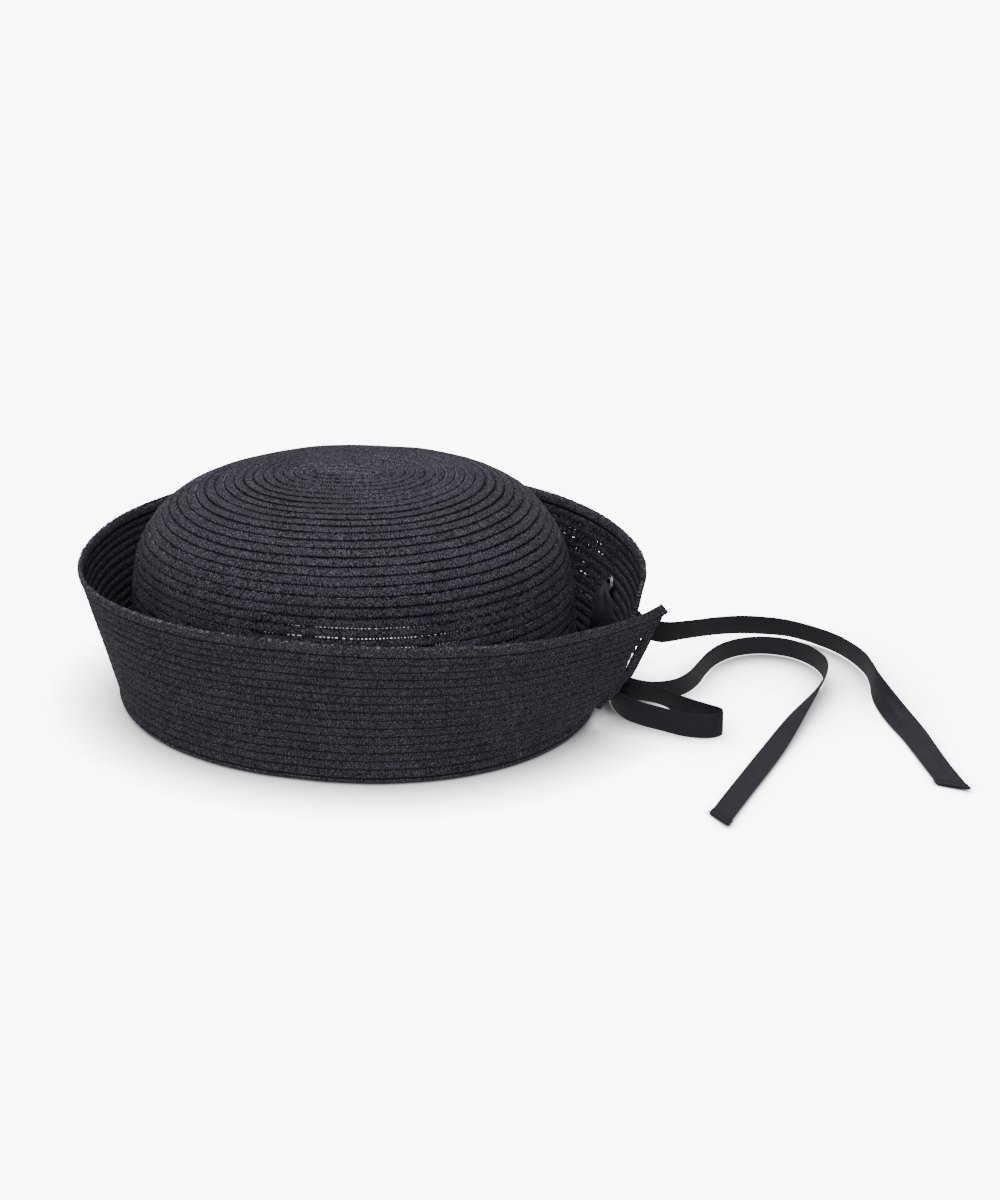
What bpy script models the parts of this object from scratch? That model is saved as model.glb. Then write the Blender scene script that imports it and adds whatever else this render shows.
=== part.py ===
"""A sailor hat of black paper braid, standing on its brim fold.

The braid is coiled into a crown, folded back up at the head opening and turned up as a brim.
The brim is slit at the back, where its near end flares outside the far end.
One ribbon passes through two eyelets in the far end, and its two free ends lie on the surface.
Millimetres in the tables, metres in the scene. +X is the back of the hat, +Y its left side, +Z up.
"""
import math

import bmesh
import bpy
from mathutils import Vector

MM = 0.001

# The hat's own origin is under the middle of the crown. The part's origin is under the middle of the
# crown and brim together, which reach further back than forward.
HAT_SHIFT = (-12.1, -3.3)

# Head and crown
CROWN_HALF_WIDTH = 85.0
CROWN_LENGTHENING = 16.5
COIL_START_LENGTHENING = 11.5
CROWN_HEIGHT = 109.2
CROWN_SIDE_POWER = 2.8
CROWN_TOP_POWER = 5.3
CROWN_BACK_LIFT = 0.054
CROWN_SIDE_LIFT = -0.018
CROWN_TOP_FORWARD = 3.6
OVAL_SQUARENESS = 0.6
CROWN_COLUMNS = 34

# Braid
WALL = 2.0
ROW_PITCH = 4.4
ROW_STEP = 0.45
GAP = 0.3

# Brim
FOLD_LEG_TOP = 9.0
FOLD_RADIUS = 3.0
FOLD_FLAT = 3.0
BRIM_LENGTH = 67.8
BRIM_TURN_LENGTH = 9.0
SLIT_FOOT = 3.0
NEAR_END_REACH = 32.0
FAR_END_REACH = 25.0
BRIM_END_ANGLES = (0.8, 3.0, 7.0, 13.0, 20.0)
BRIM_COLUMNS_BETWEEN = 33

# How far each part of the brim leans out, going round from the front by the near side to the back.
BRIM_FLARE = (
    {"bearing": -180, "flare": 10.0},
    {"bearing": -150, "flare": 16.0},
    {"bearing": -120, "flare": 13.0},
    {"bearing": -90, "flare": 9.5},
    {"bearing": -60, "flare": 13.0},
    {"bearing": -30, "flare": 21.0},
    {"bearing": 0, "flare": 21.0},
    {"bearing": 30, "flare": 17.5},
    {"bearing": 60, "flare": 17.0},
    {"bearing": 90, "flare": 15.5},
    {"bearing": 120, "flare": 9.0},
    {"bearing": 150, "flare": 5.0},
)

# Where the two edges of the slit go, as shifts away from the plain round of the brim.
SLIT_EDGES = (
    {"up": 0.00, "near_out": 0.0, "near_aside": 0.0, "far_out": 0.0, "far_aside": 0.0},
    {"up": 0.15, "near_out": 6.0, "near_aside": -3.0, "far_out": 0.5, "far_aside": 1.5},
    {"up": 0.35, "near_out": 10.5, "near_aside": -10.5, "far_out": 1.5, "far_aside": 2.0},
    {"up": 0.60, "near_out": 11.5, "near_aside": -15.0, "far_out": 2.0, "far_aside": 2.0},
    {"up": 0.80, "near_out": 12.0, "near_aside": -17.5, "far_out": 1.5, "far_aside": 2.0},
    {"up": 1.00, "near_out": 14.5, "near_aside": -19.5, "far_out": -1.5, "far_aside": 3.5},
)

# Eyelets, in the far end of the brim
EYELET_BEARING = 27.0
EYELET_UPPER_HEIGHT = 45.5
EYELET_LOWER_HEIGHT = 23.0
EYELET_BORE = 2.6
EYELET_BARREL = 3.2
EYELET_FLANGE = 5.0
EYELET_FLANGE_THICK = 0.6
EYELET_SEAT_GAP = 0.6
EYELET_SIDES = 12

# Ribbon
RIBBON_THICK = 0.8
RIBBON_HEM = 5.0
RIBBON_HEM_THICK = 1.5
RIBBON_CUT_SLANT = 40.0

# Routes of the ribbon's middle line, measured from under the lower eyelet. Lean is how far the band's
# upper edge tips to the right of the way it runs: 0 stands on edge, 90 lies flat.
UPPER_END_ROUTE = (
    {"x": 7.8, "y": 4.5, "z": 44.8, "width": 4.2, "lean": 70},
    {"x": 9.8, "y": 5.6, "z": 44.0, "width": 4.2, "lean": 75},
    {"x": 11.8, "y": 6.7, "z": 41.6, "width": 5.6, "lean": 75},
    {"x": 13.4, "y": 7.5, "z": 36.0, "width": 8.0, "lean": 60},
    {"x": 16.5, "y": 8.1, "z": 29.4, "width": 10.4, "lean": 35},
    {"x": 21.9, "y": 8.3, "z": 24.0, "width": 11.6, "lean": 12},
    {"x": 29.4, "y": 10.6, "z": 21.5, "width": 11.6, "lean": 14},
    {"x": 38.9, "y": 21.6, "z": 19.2, "width": 11.6, "lean": 22},
    {"x": 48.2, "y": 36.1, "z": 15.7, "width": 11.6, "lean": 24},
    {"x": 57.9, "y": 48.6, "z": 12.2, "width": 11.6, "lean": 24},
    {"x": 68.4, "y": 57.1, "z": 9.2, "width": 11.6, "lean": 24},
    {"x": 79.9, "y": 61.1, "z": 7.2, "width": 11.6, "lean": 24},
    {"x": 92.9, "y": 58.1, "z": 6.1, "width": 11.6, "lean": 20},
    {"x": 106.4, "y": 49.1, "z": 6.1, "width": 11.6, "lean": 14},
    {"x": 118.9, "y": 34.1, "z": 6.2, "width": 11.6, "lean": 5},
    {"x": 124.5, "y": 21.6, "z": 6.2, "width": 11.6, "lean": -4},
    {"x": 128.1, "y": 10.6, "z": 6.0, "width": 11.6, "lean": -16},
    {"x": 133.9, "y": -1.9, "z": 5.2, "width": 11.2, "lean": -36},
    {"x": 142.0, "y": -15.9, "z": 3.8, "width": 11.2, "lean": -56},
    {"x": 151.5, "y": -30.9, "z": 2.4, "width": 11.2, "lean": -72},
    {"x": 158.9, "y": -44.9, "z": 1.6, "width": 11.2, "lean": -81},
    {"x": 165.9, "y": -58.9, "z": 1.3, "width": 11.2, "lean": -85},
    {"x": 173.3, "y": -73.1, "z": 1.3, "width": 11.4, "lean": -86},
)

LOWER_END_ROUTE = (
    {"x": 1.7, "y": 0.9, "z": 22.5, "width": 4.2, "lean": 70},
    {"x": 3.7, "y": 2.1, "z": 21.8, "width": 4.2, "lean": 70},
    {"x": 6.5, "y": 2.3, "z": 18.6, "width": 6.5, "lean": 45},
    {"x": 9.1, "y": -2.5, "z": 13.0, "width": 9.5, "lean": 15},
    {"x": 10.3, "y": -10.3, "z": 9.0, "width": 11.6, "lean": 0},
    {"x": 10.3, "y": -18.9, "z": 7.0, "width": 11.6, "lean": 0},
    {"x": 12.3, "y": -26.4, "z": 6.5, "width": 11.6, "lean": 0},
    {"x": 16.1, "y": -34.4, "z": 6.2, "width": 11.6, "lean": 0},
    {"x": 22.3, "y": -41.9, "z": 6.1, "width": 11.6, "lean": 0},
    {"x": 30.9, "y": -46.8, "z": 6.1, "width": 11.6, "lean": 0},
    {"x": 40.9, "y": -50.2, "z": 6.1, "width": 11.6, "lean": 0},
    {"x": 50.9, "y": -53.4, "z": 6.1, "width": 11.6, "lean": 0},
    {"x": 59.7, "y": -53.5, "z": 6.1, "width": 11.6, "lean": 0},
    {"x": 65.2, "y": -51.3, "z": 6.1, "width": 11.6, "lean": 0},
    {"x": 67.9, "y": -47.3, "z": 6.1, "width": 11.6, "lean": 0},
    {"x": 65.9, "y": -44.0, "z": 6.1, "width": 11.6, "lean": 0},
    {"x": 59.9, "y": -41.5, "z": 6.3, "width": 11.6, "lean": -4},
    {"x": 47.9, "y": -36.3, "z": 6.8, "width": 11.6, "lean": -12},
    {"x": 36.9, "y": -33.5, "z": 8.0, "width": 11.6, "lean": -20},
    {"x": 27.4, "y": -32.5, "z": 8.8, "width": 11.6, "lean": -20},
    {"x": 20.4, "y": -31.3, "z": 8.6, "width": 11.6, "lean": -10},
    {"x": 16.7, "y": -27.3, "z": 7.6, "width": 11.6, "lean": 0},
    {"x": 17.5, "y": -22.1, "z": 6.6, "width": 11.6, "lean": 12},
    {"x": 22.7, "y": -19.3, "z": 5.8, "width": 11.6, "lean": 24},
    {"x": 30.9, "y": -18.9, "z": 5.6, "width": 11.6, "lean": 27},
    {"x": 39.1, "y": -15.7, "z": 5.8, "width": 11.6, "lean": 20},
    {"x": 44.3, "y": -8.9, "z": 6.1, "width": 11.6, "lean": 8},
    {"x": 47.2, "y": 2.1, "z": 6.2, "width": 11.6, "lean": 0},
    {"x": 48.9, "y": 14.1, "z": 6.2, "width": 11.6, "lean": 4},
    {"x": 52.3, "y": 26.1, "z": 6.1, "width": 11.6, "lean": 12},
    {"x": 59.4, "y": 36.1, "z": 6.0, "width": 11.6, "lean": 20},
    {"x": 69.9, "y": 41.7, "z": 5.9, "width": 11.6, "lean": 22},
    {"x": 81.9, "y": 41.5, "z": 5.9, "width": 11.6, "lean": 20},
    {"x": 92.2, "y": 36.1, "z": 6.1, "width": 11.6, "lean": 14},
    {"x": 99.5, "y": 28.1, "z": 6.2, "width": 11.6, "lean": 6},
    {"x": 103.5, "y": 19.6, "z": 6.2, "width": 11.6, "lean": -6},
    {"x": 104.3, "y": 11.1, "z": 6.0, "width": 11.6, "lean": -19},
    {"x": 103.1, "y": 2.1, "z": 5.5, "width": 11.6, "lean": -34},
    {"x": 101.1, "y": -8.4, "z": 4.8, "width": 11.6, "lean": -46},
    {"x": 98.5, "y": -23.4, "z": 3.8, "width": 11.6, "lean": -59},
    {"x": 96.1, "y": -39.9, "z": 2.6, "width": 11.4, "lean": -71},
    {"x": 93.9, "y": -54.9, "z": 1.7, "width": 11.4, "lean": -80},
    {"x": 91.5, "y": -70.9, "z": 1.3, "width": 11.4, "lean": -85},
    {"x": 89.0, "y": -87.9, "z": 1.3, "width": 11.4, "lean": -86},
    {"x": 85.8, "y": -108.9, "z": 1.3, "width": 11.4, "lean": -86},
    {"x": 83.1, "y": -127.9, "z": 1.3, "width": 11.4, "lean": -86},
)

# The ribbon's short run inside the brim. Facing is the bearing of the band's width.
INNER_RUN_ROUTE = (
    {"x": 4.6, "y": 2.6, "z": 46.0, "width": 4.2, "facing": 120},
    {"x": 2.9, "y": 1.7, "z": 46.3, "width": 4.6, "facing": 122},
    {"x": 1.3, "y": 0.6, "z": 43.6, "width": 6.5, "facing": 130},
    {"x": 0.1, "y": 0.0, "z": 39.0, "width": 8.5, "facing": 136},
    {"x": -0.9, "y": -0.4, "z": 34.5, "width": 8.5, "facing": 132},
    {"x": -2.3, "y": -1.0, "z": 29.5, "width": 6.5, "facing": 122},
    {"x": -3.2, "y": -1.8, "z": 25.4, "width": 4.6, "facing": 120},
    {"x": -1.7, "y": -1.0, "z": 23.7, "width": 4.2, "facing": 120},
)
INNER_RUN_THICK = 0.6


def clear_scene():
    for old in list(bpy.data.objects):
        bpy.data.objects.remove(old, do_unlink=True)


def paint(name, colour, roughness, metallic=0.0):
    material = bpy.data.materials.new(name)
    material.use_nodes = True
    shader = material.node_tree.nodes["Principled BSDF"]
    shader.inputs["Base Color"].default_value = (*colour, 1.0)
    shader.inputs["Roughness"].default_value = roughness
    shader.inputs["Metallic"].default_value = metallic
    return material


def finish_mesh(bm, name, material, parent, sharp_angle):
    """Turn a bmesh in millimetres into an object in metres, facing out."""
    bmesh.ops.recalc_face_normals(bm, faces=bm.faces)
    bmesh.ops.scale(bm, vec=(MM, MM, MM), verts=bm.verts)
    mesh = bpy.data.meshes.new(name)
    bm.to_mesh(mesh)
    bm.free()
    mesh.shade_smooth()
    mesh.set_sharp_from_angle(angle=math.radians(sharp_angle))
    mesh.materials.append(material)
    piece = bpy.data.objects.new(name, mesh)
    bpy.context.scene.collection.objects.link(piece)
    piece.parent = parent
    return piece


def signed_power(value, power):
    return math.copysign(abs(value) ** power, value)


def oval_point(turn, reach):
    """A point of the head oval: reach out from its middle line, turn round from the back."""
    grown = (reach / CROWN_HALF_WIDTH) ** 3
    lengthening = COIL_START_LENGTHENING + (CROWN_LENGTHENING - COIL_START_LENGTHENING) * grown
    along = lengthening * signed_power(math.cos(turn), OVAL_SQUARENESS)
    return Vector((along + reach * math.cos(turn), reach * math.sin(turn)))


def oval_normal(turn):
    step = 0.02
    ahead = oval_point(turn + step, CROWN_HALF_WIDTH)
    behind = oval_point(turn - step, CROWN_HALF_WIDTH)
    run = ahead - behind
    return Vector((run.y, -run.x)).normalized()


def smooth_value(before, start, end, after, share):
    """A value on the smooth curve that passes through start and end."""
    a = 2.0 * start
    b = (end - before) * share
    c = (2.0 * before - 5.0 * start + 4.0 * end - after) * share ** 2
    d = (3.0 * start - before - 3.0 * end + after) * share ** 3
    return 0.5 * (a + b + c + d)


def flare_at(bearing):
    """The lean of the brim wall in radians at a bearing in degrees."""
    count = len(BRIM_FLARE)
    position = (bearing + 180.0) % 360.0 / (360.0 / count)
    index = int(position)
    values = [BRIM_FLARE[(index + offset) % count]["flare"] for offset in (-1, 0, 1, 2)]
    return math.radians(smooth_value(*values, position - index))


def crown_profile():
    """Points (reach, height, outward slope, distance) from the top's middle to the lower edge."""
    steps = 600
    points = []
    distance = 0.0
    for step in range(steps + 1):
        turn = 0.5 * math.pi * step / steps
        reach = CROWN_HALF_WIDTH * math.sin(turn) ** (2.0 / CROWN_SIDE_POWER)
        height = CROWN_HEIGHT * math.cos(turn) ** (2.0 / CROWN_TOP_POWER)
        if points:
            distance += math.hypot(reach - points[-1][0], height - points[-1][1])
        if height < FOLD_LEG_TOP + GAP:
            break
        points.append((reach, height, distance))
    return points


def profile_at(profile, distance):
    """Position and outward normal on a profile, at a distance along it."""
    last = len(profile) - 1
    low = 0
    while low < last - 1 and profile[low + 1][2] < distance:
        low += 1
    first = profile[low]
    second = profile[low + 1]
    span = second[2] - first[2]
    share = min(max((distance - first[2]) / span, 0.0), 1.0)
    reach = first[0] + share * (second[0] - first[0])
    height = first[1] + share * (second[1] - first[1])
    wide = profile[min(low + 5, last)]
    back = profile[max(low - 4, 0)]
    run = Vector((wide[0] - back[0], wide[1] - back[1])).normalized()
    return Vector((reach, height)), Vector((-run.y, run.x))


def crown_place(turn, reach, height):
    """A point of the crown, with its slight lean forward and its rise towards the back."""
    flat = oval_point(turn, reach)
    rise = height / CROWN_HEIGHT
    lift = (CROWN_BACK_LIFT * flat.x + CROWN_SIDE_LIFT * flat.y) * rise
    return Vector((flat.x - CROWN_TOP_FORWARD * rise, flat.y, height + lift * rise))


def skin_rings(bm, rings):
    """Join closed rings of points into a band, and return the rings of vertices."""
    loops = [[bm.verts.new(point) for point in ring] for ring in rings]
    for upper, lower in zip(loops, loops[1:]):
        for index, vert in enumerate(upper):
            following = (index + 1) % len(upper)
            bm.faces.new((vert, upper[following], lower[following], lower[index]))
    return loops


def make_crown(material, parent):
    profile = crown_profile()
    length = profile[-1][2]
    rows = round(length / ROW_PITCH)
    pitch = length / rows
    turns = [2.0 * math.pi * (index + 0.5) / CROWN_COLUMNS for index in range(CROWN_COLUMNS)]
    rings = []
    for row in range(rows):
        for share, proud in ((0.04, 0.0), (0.96, ROW_STEP)):
            point, normal = profile_at(profile, (row + share) * pitch)
            point = point + normal * proud
            if row or share > 0.5:
                rings.append([crown_place(turn, point.x, point.y) for turn in turns])
    end, normal = profile_at(profile, length)
    for depth in (0.0, WALL):
        edge = end - normal * depth
        rings.append([crown_place(turn, edge.x, FOLD_LEG_TOP + GAP) for turn in turns])
    inner_steps = 7
    for step in range(1, inner_steps):
        distance = length * (1.0 - step / inner_steps)
        point, normal = profile_at(profile, distance)
        point = point - normal * WALL
        rings.append([crown_place(turn, point.x, point.y) for turn in turns])
    bm = bmesh.new()
    loops = skin_rings(bm, rings)
    bm.faces.new(loops[0])
    bm.faces.new(loops[-1])
    return finish_mesh(bm, "crown", material, parent, 40)


def fold_line():
    """Middle line of the fold as (out, height, outward normal), from the crown to the brim's wall."""
    line = []
    inner_centre = -0.5 * WALL + FOLD_RADIUS
    outer_centre = inner_centre + FOLD_FLAT
    middle_height = FOLD_RADIUS + 0.5 * WALL
    line.append((-0.5 * WALL, FOLD_LEG_TOP, Vector((-1.0, 0.0))))
    for centre, first, last in ((inner_centre, 180.0, 270.0), (outer_centre, 270.0, 360.0)):
        for step in range(4):
            turn = math.radians(first + (last - first) * step / 3.0)
            normal = Vector((math.cos(turn), math.sin(turn)))
            out = centre + FOLD_RADIUS * normal.x
            line.append((out, middle_height + FOLD_RADIUS * normal.y, normal))
    return line


def wall_line(bearing, stations):
    """Middle line of the brim's wall as (out, height, outward normal) at distances up it."""
    flare = flare_at(bearing)
    out = 2.0 * FOLD_RADIUS + FOLD_FLAT - 0.5 * WALL
    height = FOLD_RADIUS + 0.5 * WALL
    line = []
    done = 0.0
    for station in stations:
        while done < station - 1e-6:
            step = min(0.5, station - done)
            lean = flare * min(1.0, (done + 0.5 * step) / BRIM_TURN_LENGTH)
            out += math.sin(lean) * step
            height += math.cos(lean) * step
            done += step
        lean = flare * min(1.0, done / BRIM_TURN_LENGTH)
        line.append((out, height, Vector((math.cos(lean), -math.sin(lean)))))
    return line


def slit_shift(bearing, station):
    """How far the brim's two ends stray from the plain round, beside the slit."""
    up = max(0.0, (station - SLIT_FOOT) / (BRIM_LENGTH - SLIT_FOOT))
    index = 0
    while index < len(SLIT_EDGES) - 2 and SLIT_EDGES[index + 1]["up"] < up:
        index += 1
    low = SLIT_EDGES[index]
    high = SLIT_EDGES[index + 1]
    share = (up - low["up"]) / (high["up"] - low["up"])
    side = "near" if bearing < 0.0 else "far"
    reach = NEAR_END_REACH if bearing < 0.0 else FAR_END_REACH
    fade = max(0.0, 1.0 - abs(bearing) / reach) ** 1.5
    out = low[side + "_out"] + share * (high[side + "_out"] - low[side + "_out"])
    aside = low[side + "_aside"] + share * (high[side + "_aside"] - low[side + "_aside"])
    return Vector((out * fade, aside * fade, 0.0))


def brim_place(bearing, out, height, station):
    turn = math.radians(bearing)
    flat = oval_point(turn, CROWN_HALF_WIDTH) + oval_normal(turn) * out
    return Vector((flat.x, flat.y, height)) + slit_shift(bearing, station)


def brim_bearings():
    """Bearings of the brim's columns, from the near edge of the slit round to the far edge."""
    last = BRIM_END_ANGLES[-1]
    spread = (360.0 - 2.0 * last) / BRIM_COLUMNS_BETWEEN
    near = [-0.01] + [-angle for angle in BRIM_END_ANGLES]
    round_the_front = [-last - spread * index for index in range(1, BRIM_COLUMNS_BETWEEN)]
    far = [angle - 360.0 for angle in reversed(BRIM_END_ANGLES)] + [-359.99]
    return near + round_the_front + far


def as_half_turn(bearing):
    return bearing if bearing >= -180.0 else bearing + 360.0


def corner_drop(bearing):
    """The rim's corners beside the slit are rounded off by this much."""
    return 2.0 * max(0.0, 1.0 - abs(bearing) / 4.5) ** 2


def brim_columns(side, stations):
    """One column of points for each bearing: fold first, then the wall up to the rim."""
    columns = []
    for raw in brim_bearings():
        bearing = as_half_turn(raw)
        shortening = 1.0 - corner_drop(bearing) / BRIM_LENGTH
        column = []
        for out, height, normal in fold_line():
            point = (out + normal.x * side * 0.5 * WALL, height + normal.y * side * 0.5 * WALL)
            column.append(brim_place(bearing, *point, 0.0))
        fitted = [station * shortening for station, proud in stations]
        for (station, proud), place in zip(stations, wall_line(bearing, fitted)):
            out, height, normal = place
            offset = side * 0.5 * WALL + proud
            point = (out + normal.x * offset, height + normal.y * offset)
            column.append(brim_place(bearing, *point, station * shortening))
        columns.append(column)
    return columns


def wall_stations(ribbed):
    """Distances up the wall with the relief there. The first one is the slit's foot."""
    stations = [(SLIT_FOOT, 0.0)]
    rows = round((BRIM_LENGTH - SLIT_FOOT) / ROW_PITCH)
    pitch = (BRIM_LENGTH - SLIT_FOOT) / rows
    if ribbed:
        for row in range(rows):
            start = SLIT_FOOT + row * pitch
            if row:
                stations.append((start + 0.06 * pitch, ROW_STEP))
            stations.append((start + 0.94 * pitch, 0.0))
        return stations
    steps = 6
    for step in range(1, steps):
        stations.append((SLIT_FOOT + (BRIM_LENGTH - SLIT_FOOT) * step / steps, 0.0))
    stations.append((SLIT_FOOT + (rows - 0.06) * pitch, 0.0))
    return stations


def brim_skin(bm, columns, foot):
    """Faces of one side of the brim: a closed ring below the slit's foot, open above it."""
    last = len(columns) - 1
    verts = []
    for index, column in enumerate(columns):
        verts.append([])
        for level, point in enumerate(column):
            if index == last and level <= foot:
                verts[index].append(verts[0][level])
            else:
                verts[index].append(bm.verts.new(point))
    for index in range(last):
        near = verts[index]
        far = verts[index + 1]
        for level in range(len(near) - 1):
            bm.faces.new((near[level], far[level], far[level + 1], near[level + 1]))
    return verts


def make_brim(material, parent):
    bm = bmesh.new()
    foot = len(fold_line())
    outer = brim_skin(bm, brim_columns(1.0, wall_stations(True)), foot)
    inner = brim_skin(bm, brim_columns(-1.0, wall_stations(False)), foot)
    last = len(outer) - 1
    for index in range(last):
        for level in (0, -1):
            bm.faces.new((outer[index][level], inner[index][level],
                          inner[index + 1][level], outer[index + 1][level]))
    for index in (0, last):
        bm.faces.new(outer[index][foot:] + list(reversed(inner[index][foot:])))
    return finish_mesh(bm, "brim", material, parent, 40)


def wall_frame(height):
    """Middle of the wall at the eyelets' bearing, and the way straight out of it."""
    line = wall_line(EYELET_BEARING, [step * 0.25 for step in range(int(BRIM_LENGTH * 4))])
    index = min(range(len(line)), key=lambda place: abs(line[place][1] - height))
    out, level, normal = line[index]
    middle = brim_place(EYELET_BEARING, out, level, index * 0.25)
    round_way = oval_normal(math.radians(EYELET_BEARING))
    outward = Vector((round_way.x * normal.x, round_way.y * normal.x, normal.y))
    return middle, outward.normalized()


def make_cutter(name, height, parent):
    """A cylinder that cuts an eyelet's hole through the brim."""
    middle, outward = wall_frame(height)
    bm = bmesh.new()
    bmesh.ops.create_cone(bm, cap_ends=True, segments=EYELET_SIDES, radius1=EYELET_BARREL + GAP,
                          radius2=EYELET_BARREL + GAP, depth=8.0)
    turn = Vector((0.0, 0.0, 1.0)).rotation_difference(outward).to_matrix()
    bmesh.ops.rotate(bm, cent=(0.0, 0.0, 0.0), matrix=turn, verts=bm.verts)
    bmesh.ops.translate(bm, vec=middle, verts=bm.verts)
    cutter = finish_mesh(bm, name, paint(name, (0.5, 0.5, 0.5), 0.5), parent, 30)
    cutter.hide_render = True
    cutter.display_type = "WIRE"
    return cutter


def cut(piece, cutter):
    modifier = piece.modifiers.new(cutter.name, "BOOLEAN")
    modifier.operation = "DIFFERENCE"
    modifier.solver = "EXACT"
    modifier.object = cutter


def make_eyelet(name, height, material, parent):
    """A barrel with a flange turned out at each end, round the wall's hole."""
    middle, outward = wall_frame(height)
    inner_face = -0.5 * WALL - EYELET_SEAT_GAP
    outer_face = 0.5 * WALL + ROW_STEP + EYELET_SEAT_GAP
    profile = (
        (EYELET_BORE, inner_face - EYELET_FLANGE_THICK),
        (EYELET_FLANGE, inner_face - EYELET_FLANGE_THICK),
        (EYELET_FLANGE, inner_face),
        (EYELET_BARREL, inner_face),
        (EYELET_BARREL, outer_face),
        (EYELET_FLANGE, outer_face),
        (EYELET_FLANGE, outer_face + EYELET_FLANGE_THICK),
        (EYELET_BORE, outer_face + EYELET_FLANGE_THICK),
    )
    bm = bmesh.new()
    verts = [bm.verts.new((radius, 0.0, level)) for radius, level in profile]
    edges = [bm.edges.new((verts[i], verts[(i + 1) % len(verts)])) for i in range(len(verts))]
    bmesh.ops.spin(bm, geom=verts + edges, cent=(0.0, 0.0, 0.0), axis=(0.0, 0.0, 1.0),
                   angle=2.0 * math.pi, steps=EYELET_SIDES, use_merge=True)
    bmesh.ops.remove_doubles(bm, verts=bm.verts, dist=0.001)
    turn = Vector((0.0, 0.0, 1.0)).rotation_difference(outward).to_matrix()
    bmesh.ops.rotate(bm, cent=(0.0, 0.0, 0.0), matrix=turn, verts=bm.verts)
    bmesh.ops.translate(bm, vec=middle, verts=bm.verts)
    return finish_mesh(bm, name, material, parent, 40)


def route_point(row):
    """A row's place in the hat: the routes start from under the lower eyelet."""
    foot = wall_frame(EYELET_LOWER_HEIGHT)[0]
    return Vector((foot.x + row["x"], foot.y + row["y"], row["z"]))


def smooth_route(route, samples):
    """Rows of a route with smooth rows between them."""
    rows = []
    last = len(route) - 1
    for index in range(last):
        near = [route[max(index - 1, 0)], route[index], route[index + 1], route[min(index + 2, last)]]
        for step in range(samples):
            rows.append({key: smooth_value(*[row[key] for row in near], step / samples)
                         for key in route[0]})
    rows.append(dict(route[-1]))
    return rows


def band_mesh(stations):
    """A closed flat band from stations of (centre, half width vector, half thickness vector)."""
    bm = bmesh.new()
    rings = []
    for centre, wide, thick in stations:
        rings.append([centre - wide - thick, centre - wide + thick,
                      centre + wide + thick, centre + wide - thick])
    loops = skin_rings(bm, rings)
    bm.faces.new(loops[0])
    bm.faces.new(loops[-1])
    return bm


def make_ribbon_end(name, route, samples, material, parent):
    """A free end of the ribbon, standing on edge or lying over as its table says, with its hem."""
    rows = smooth_route(route, samples)
    points = [route_point(row) for row in rows]
    stations = []
    for index, row in enumerate(rows):
        run = points[min(index + 1, len(rows) - 1)] - points[max(index - 1, 0)]
        run.normalize()
        right = run.cross(Vector((0.0, 0.0, 1.0))).normalized()
        upward = right.cross(run).normalized()
        lean = math.radians(row["lean"])
        wide = upward * math.cos(lean) + right * math.sin(lean)
        thick = run.cross(wide).normalized()
        stations.append((points[index], wide * 0.5 * row["width"], thick * 0.5 * RIBBON_THICK))
    end, wide, thick = stations.pop()
    run = (points[-1] - points[-2]).normalized()
    wide = wide + run * wide.length * math.tan(math.radians(RIBBON_CUT_SLANT))
    hem = thick.normalized() * 0.5 * RIBBON_HEM_THICK
    stations.append((end, wide, thick))
    stations.append((end + run * 0.4, wide, hem))
    stations.append((end + run * RIBBON_HEM, wide, hem))
    return finish_mesh(band_mesh(stations), name, material, parent, 40)


def make_inner_run(name, material, parent):
    rows = smooth_route(INNER_RUN_ROUTE, 3)
    points = [route_point(row) for row in rows]
    stations = []
    for index, row in enumerate(rows):
        run = points[min(index + 1, len(rows) - 1)] - points[max(index - 1, 0)]
        facing = math.radians(row["facing"])
        wide = Vector((math.cos(facing), math.sin(facing), 0.0))
        thick = run.cross(wide).normalized()
        stations.append((points[index], wide * 0.5 * row["width"], thick * 0.5 * INNER_RUN_THICK))
    return finish_mesh(band_mesh(stations), name, material, parent, 40)


def build():
    clear_scene()
    hat = bpy.data.objects.new("hat", None)
    hat.location = (HAT_SHIFT[0] * MM, HAT_SHIFT[1] * MM, 0.0)
    bpy.context.scene.collection.objects.link(hat)
    braid = paint("black_paper_braid", (0.028, 0.027, 0.031), 0.75)
    gloss = paint("black_enamel", (0.02, 0.02, 0.022), 0.25, 0.4)
    satin = paint("black_ribbon", (0.018, 0.017, 0.022), 0.5)
    make_crown(braid, hat)
    brim = make_brim(braid, hat)
    for name, height in (("eyelet_upper", EYELET_UPPER_HEIGHT), ("eyelet_lower", EYELET_LOWER_HEIGHT)):
        cut(brim, make_cutter(name + "_hole", height, hat))
        make_eyelet(name, height, gloss, hat)
    make_inner_run("ribbon_inner_run", satin, hat)
    make_ribbon_end("ribbon_upper_end", UPPER_END_ROUTE, 2, satin, hat)
    make_ribbon_end("ribbon_lower_end", LOWER_END_ROUTE, 2, satin, hat)


build()
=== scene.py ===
"""Looks of a black sailor hat sewn from one long paper braid, with a ribbon laced through its brim.

Sizes are in millimetres, as a hat maker gives them, and MM turns them into the frame's metres.
+X is the back of the hat, where its brim is slit, and +Z is up. The camera sees the side at -Y.
"""
import math
from functools import partial

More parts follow.
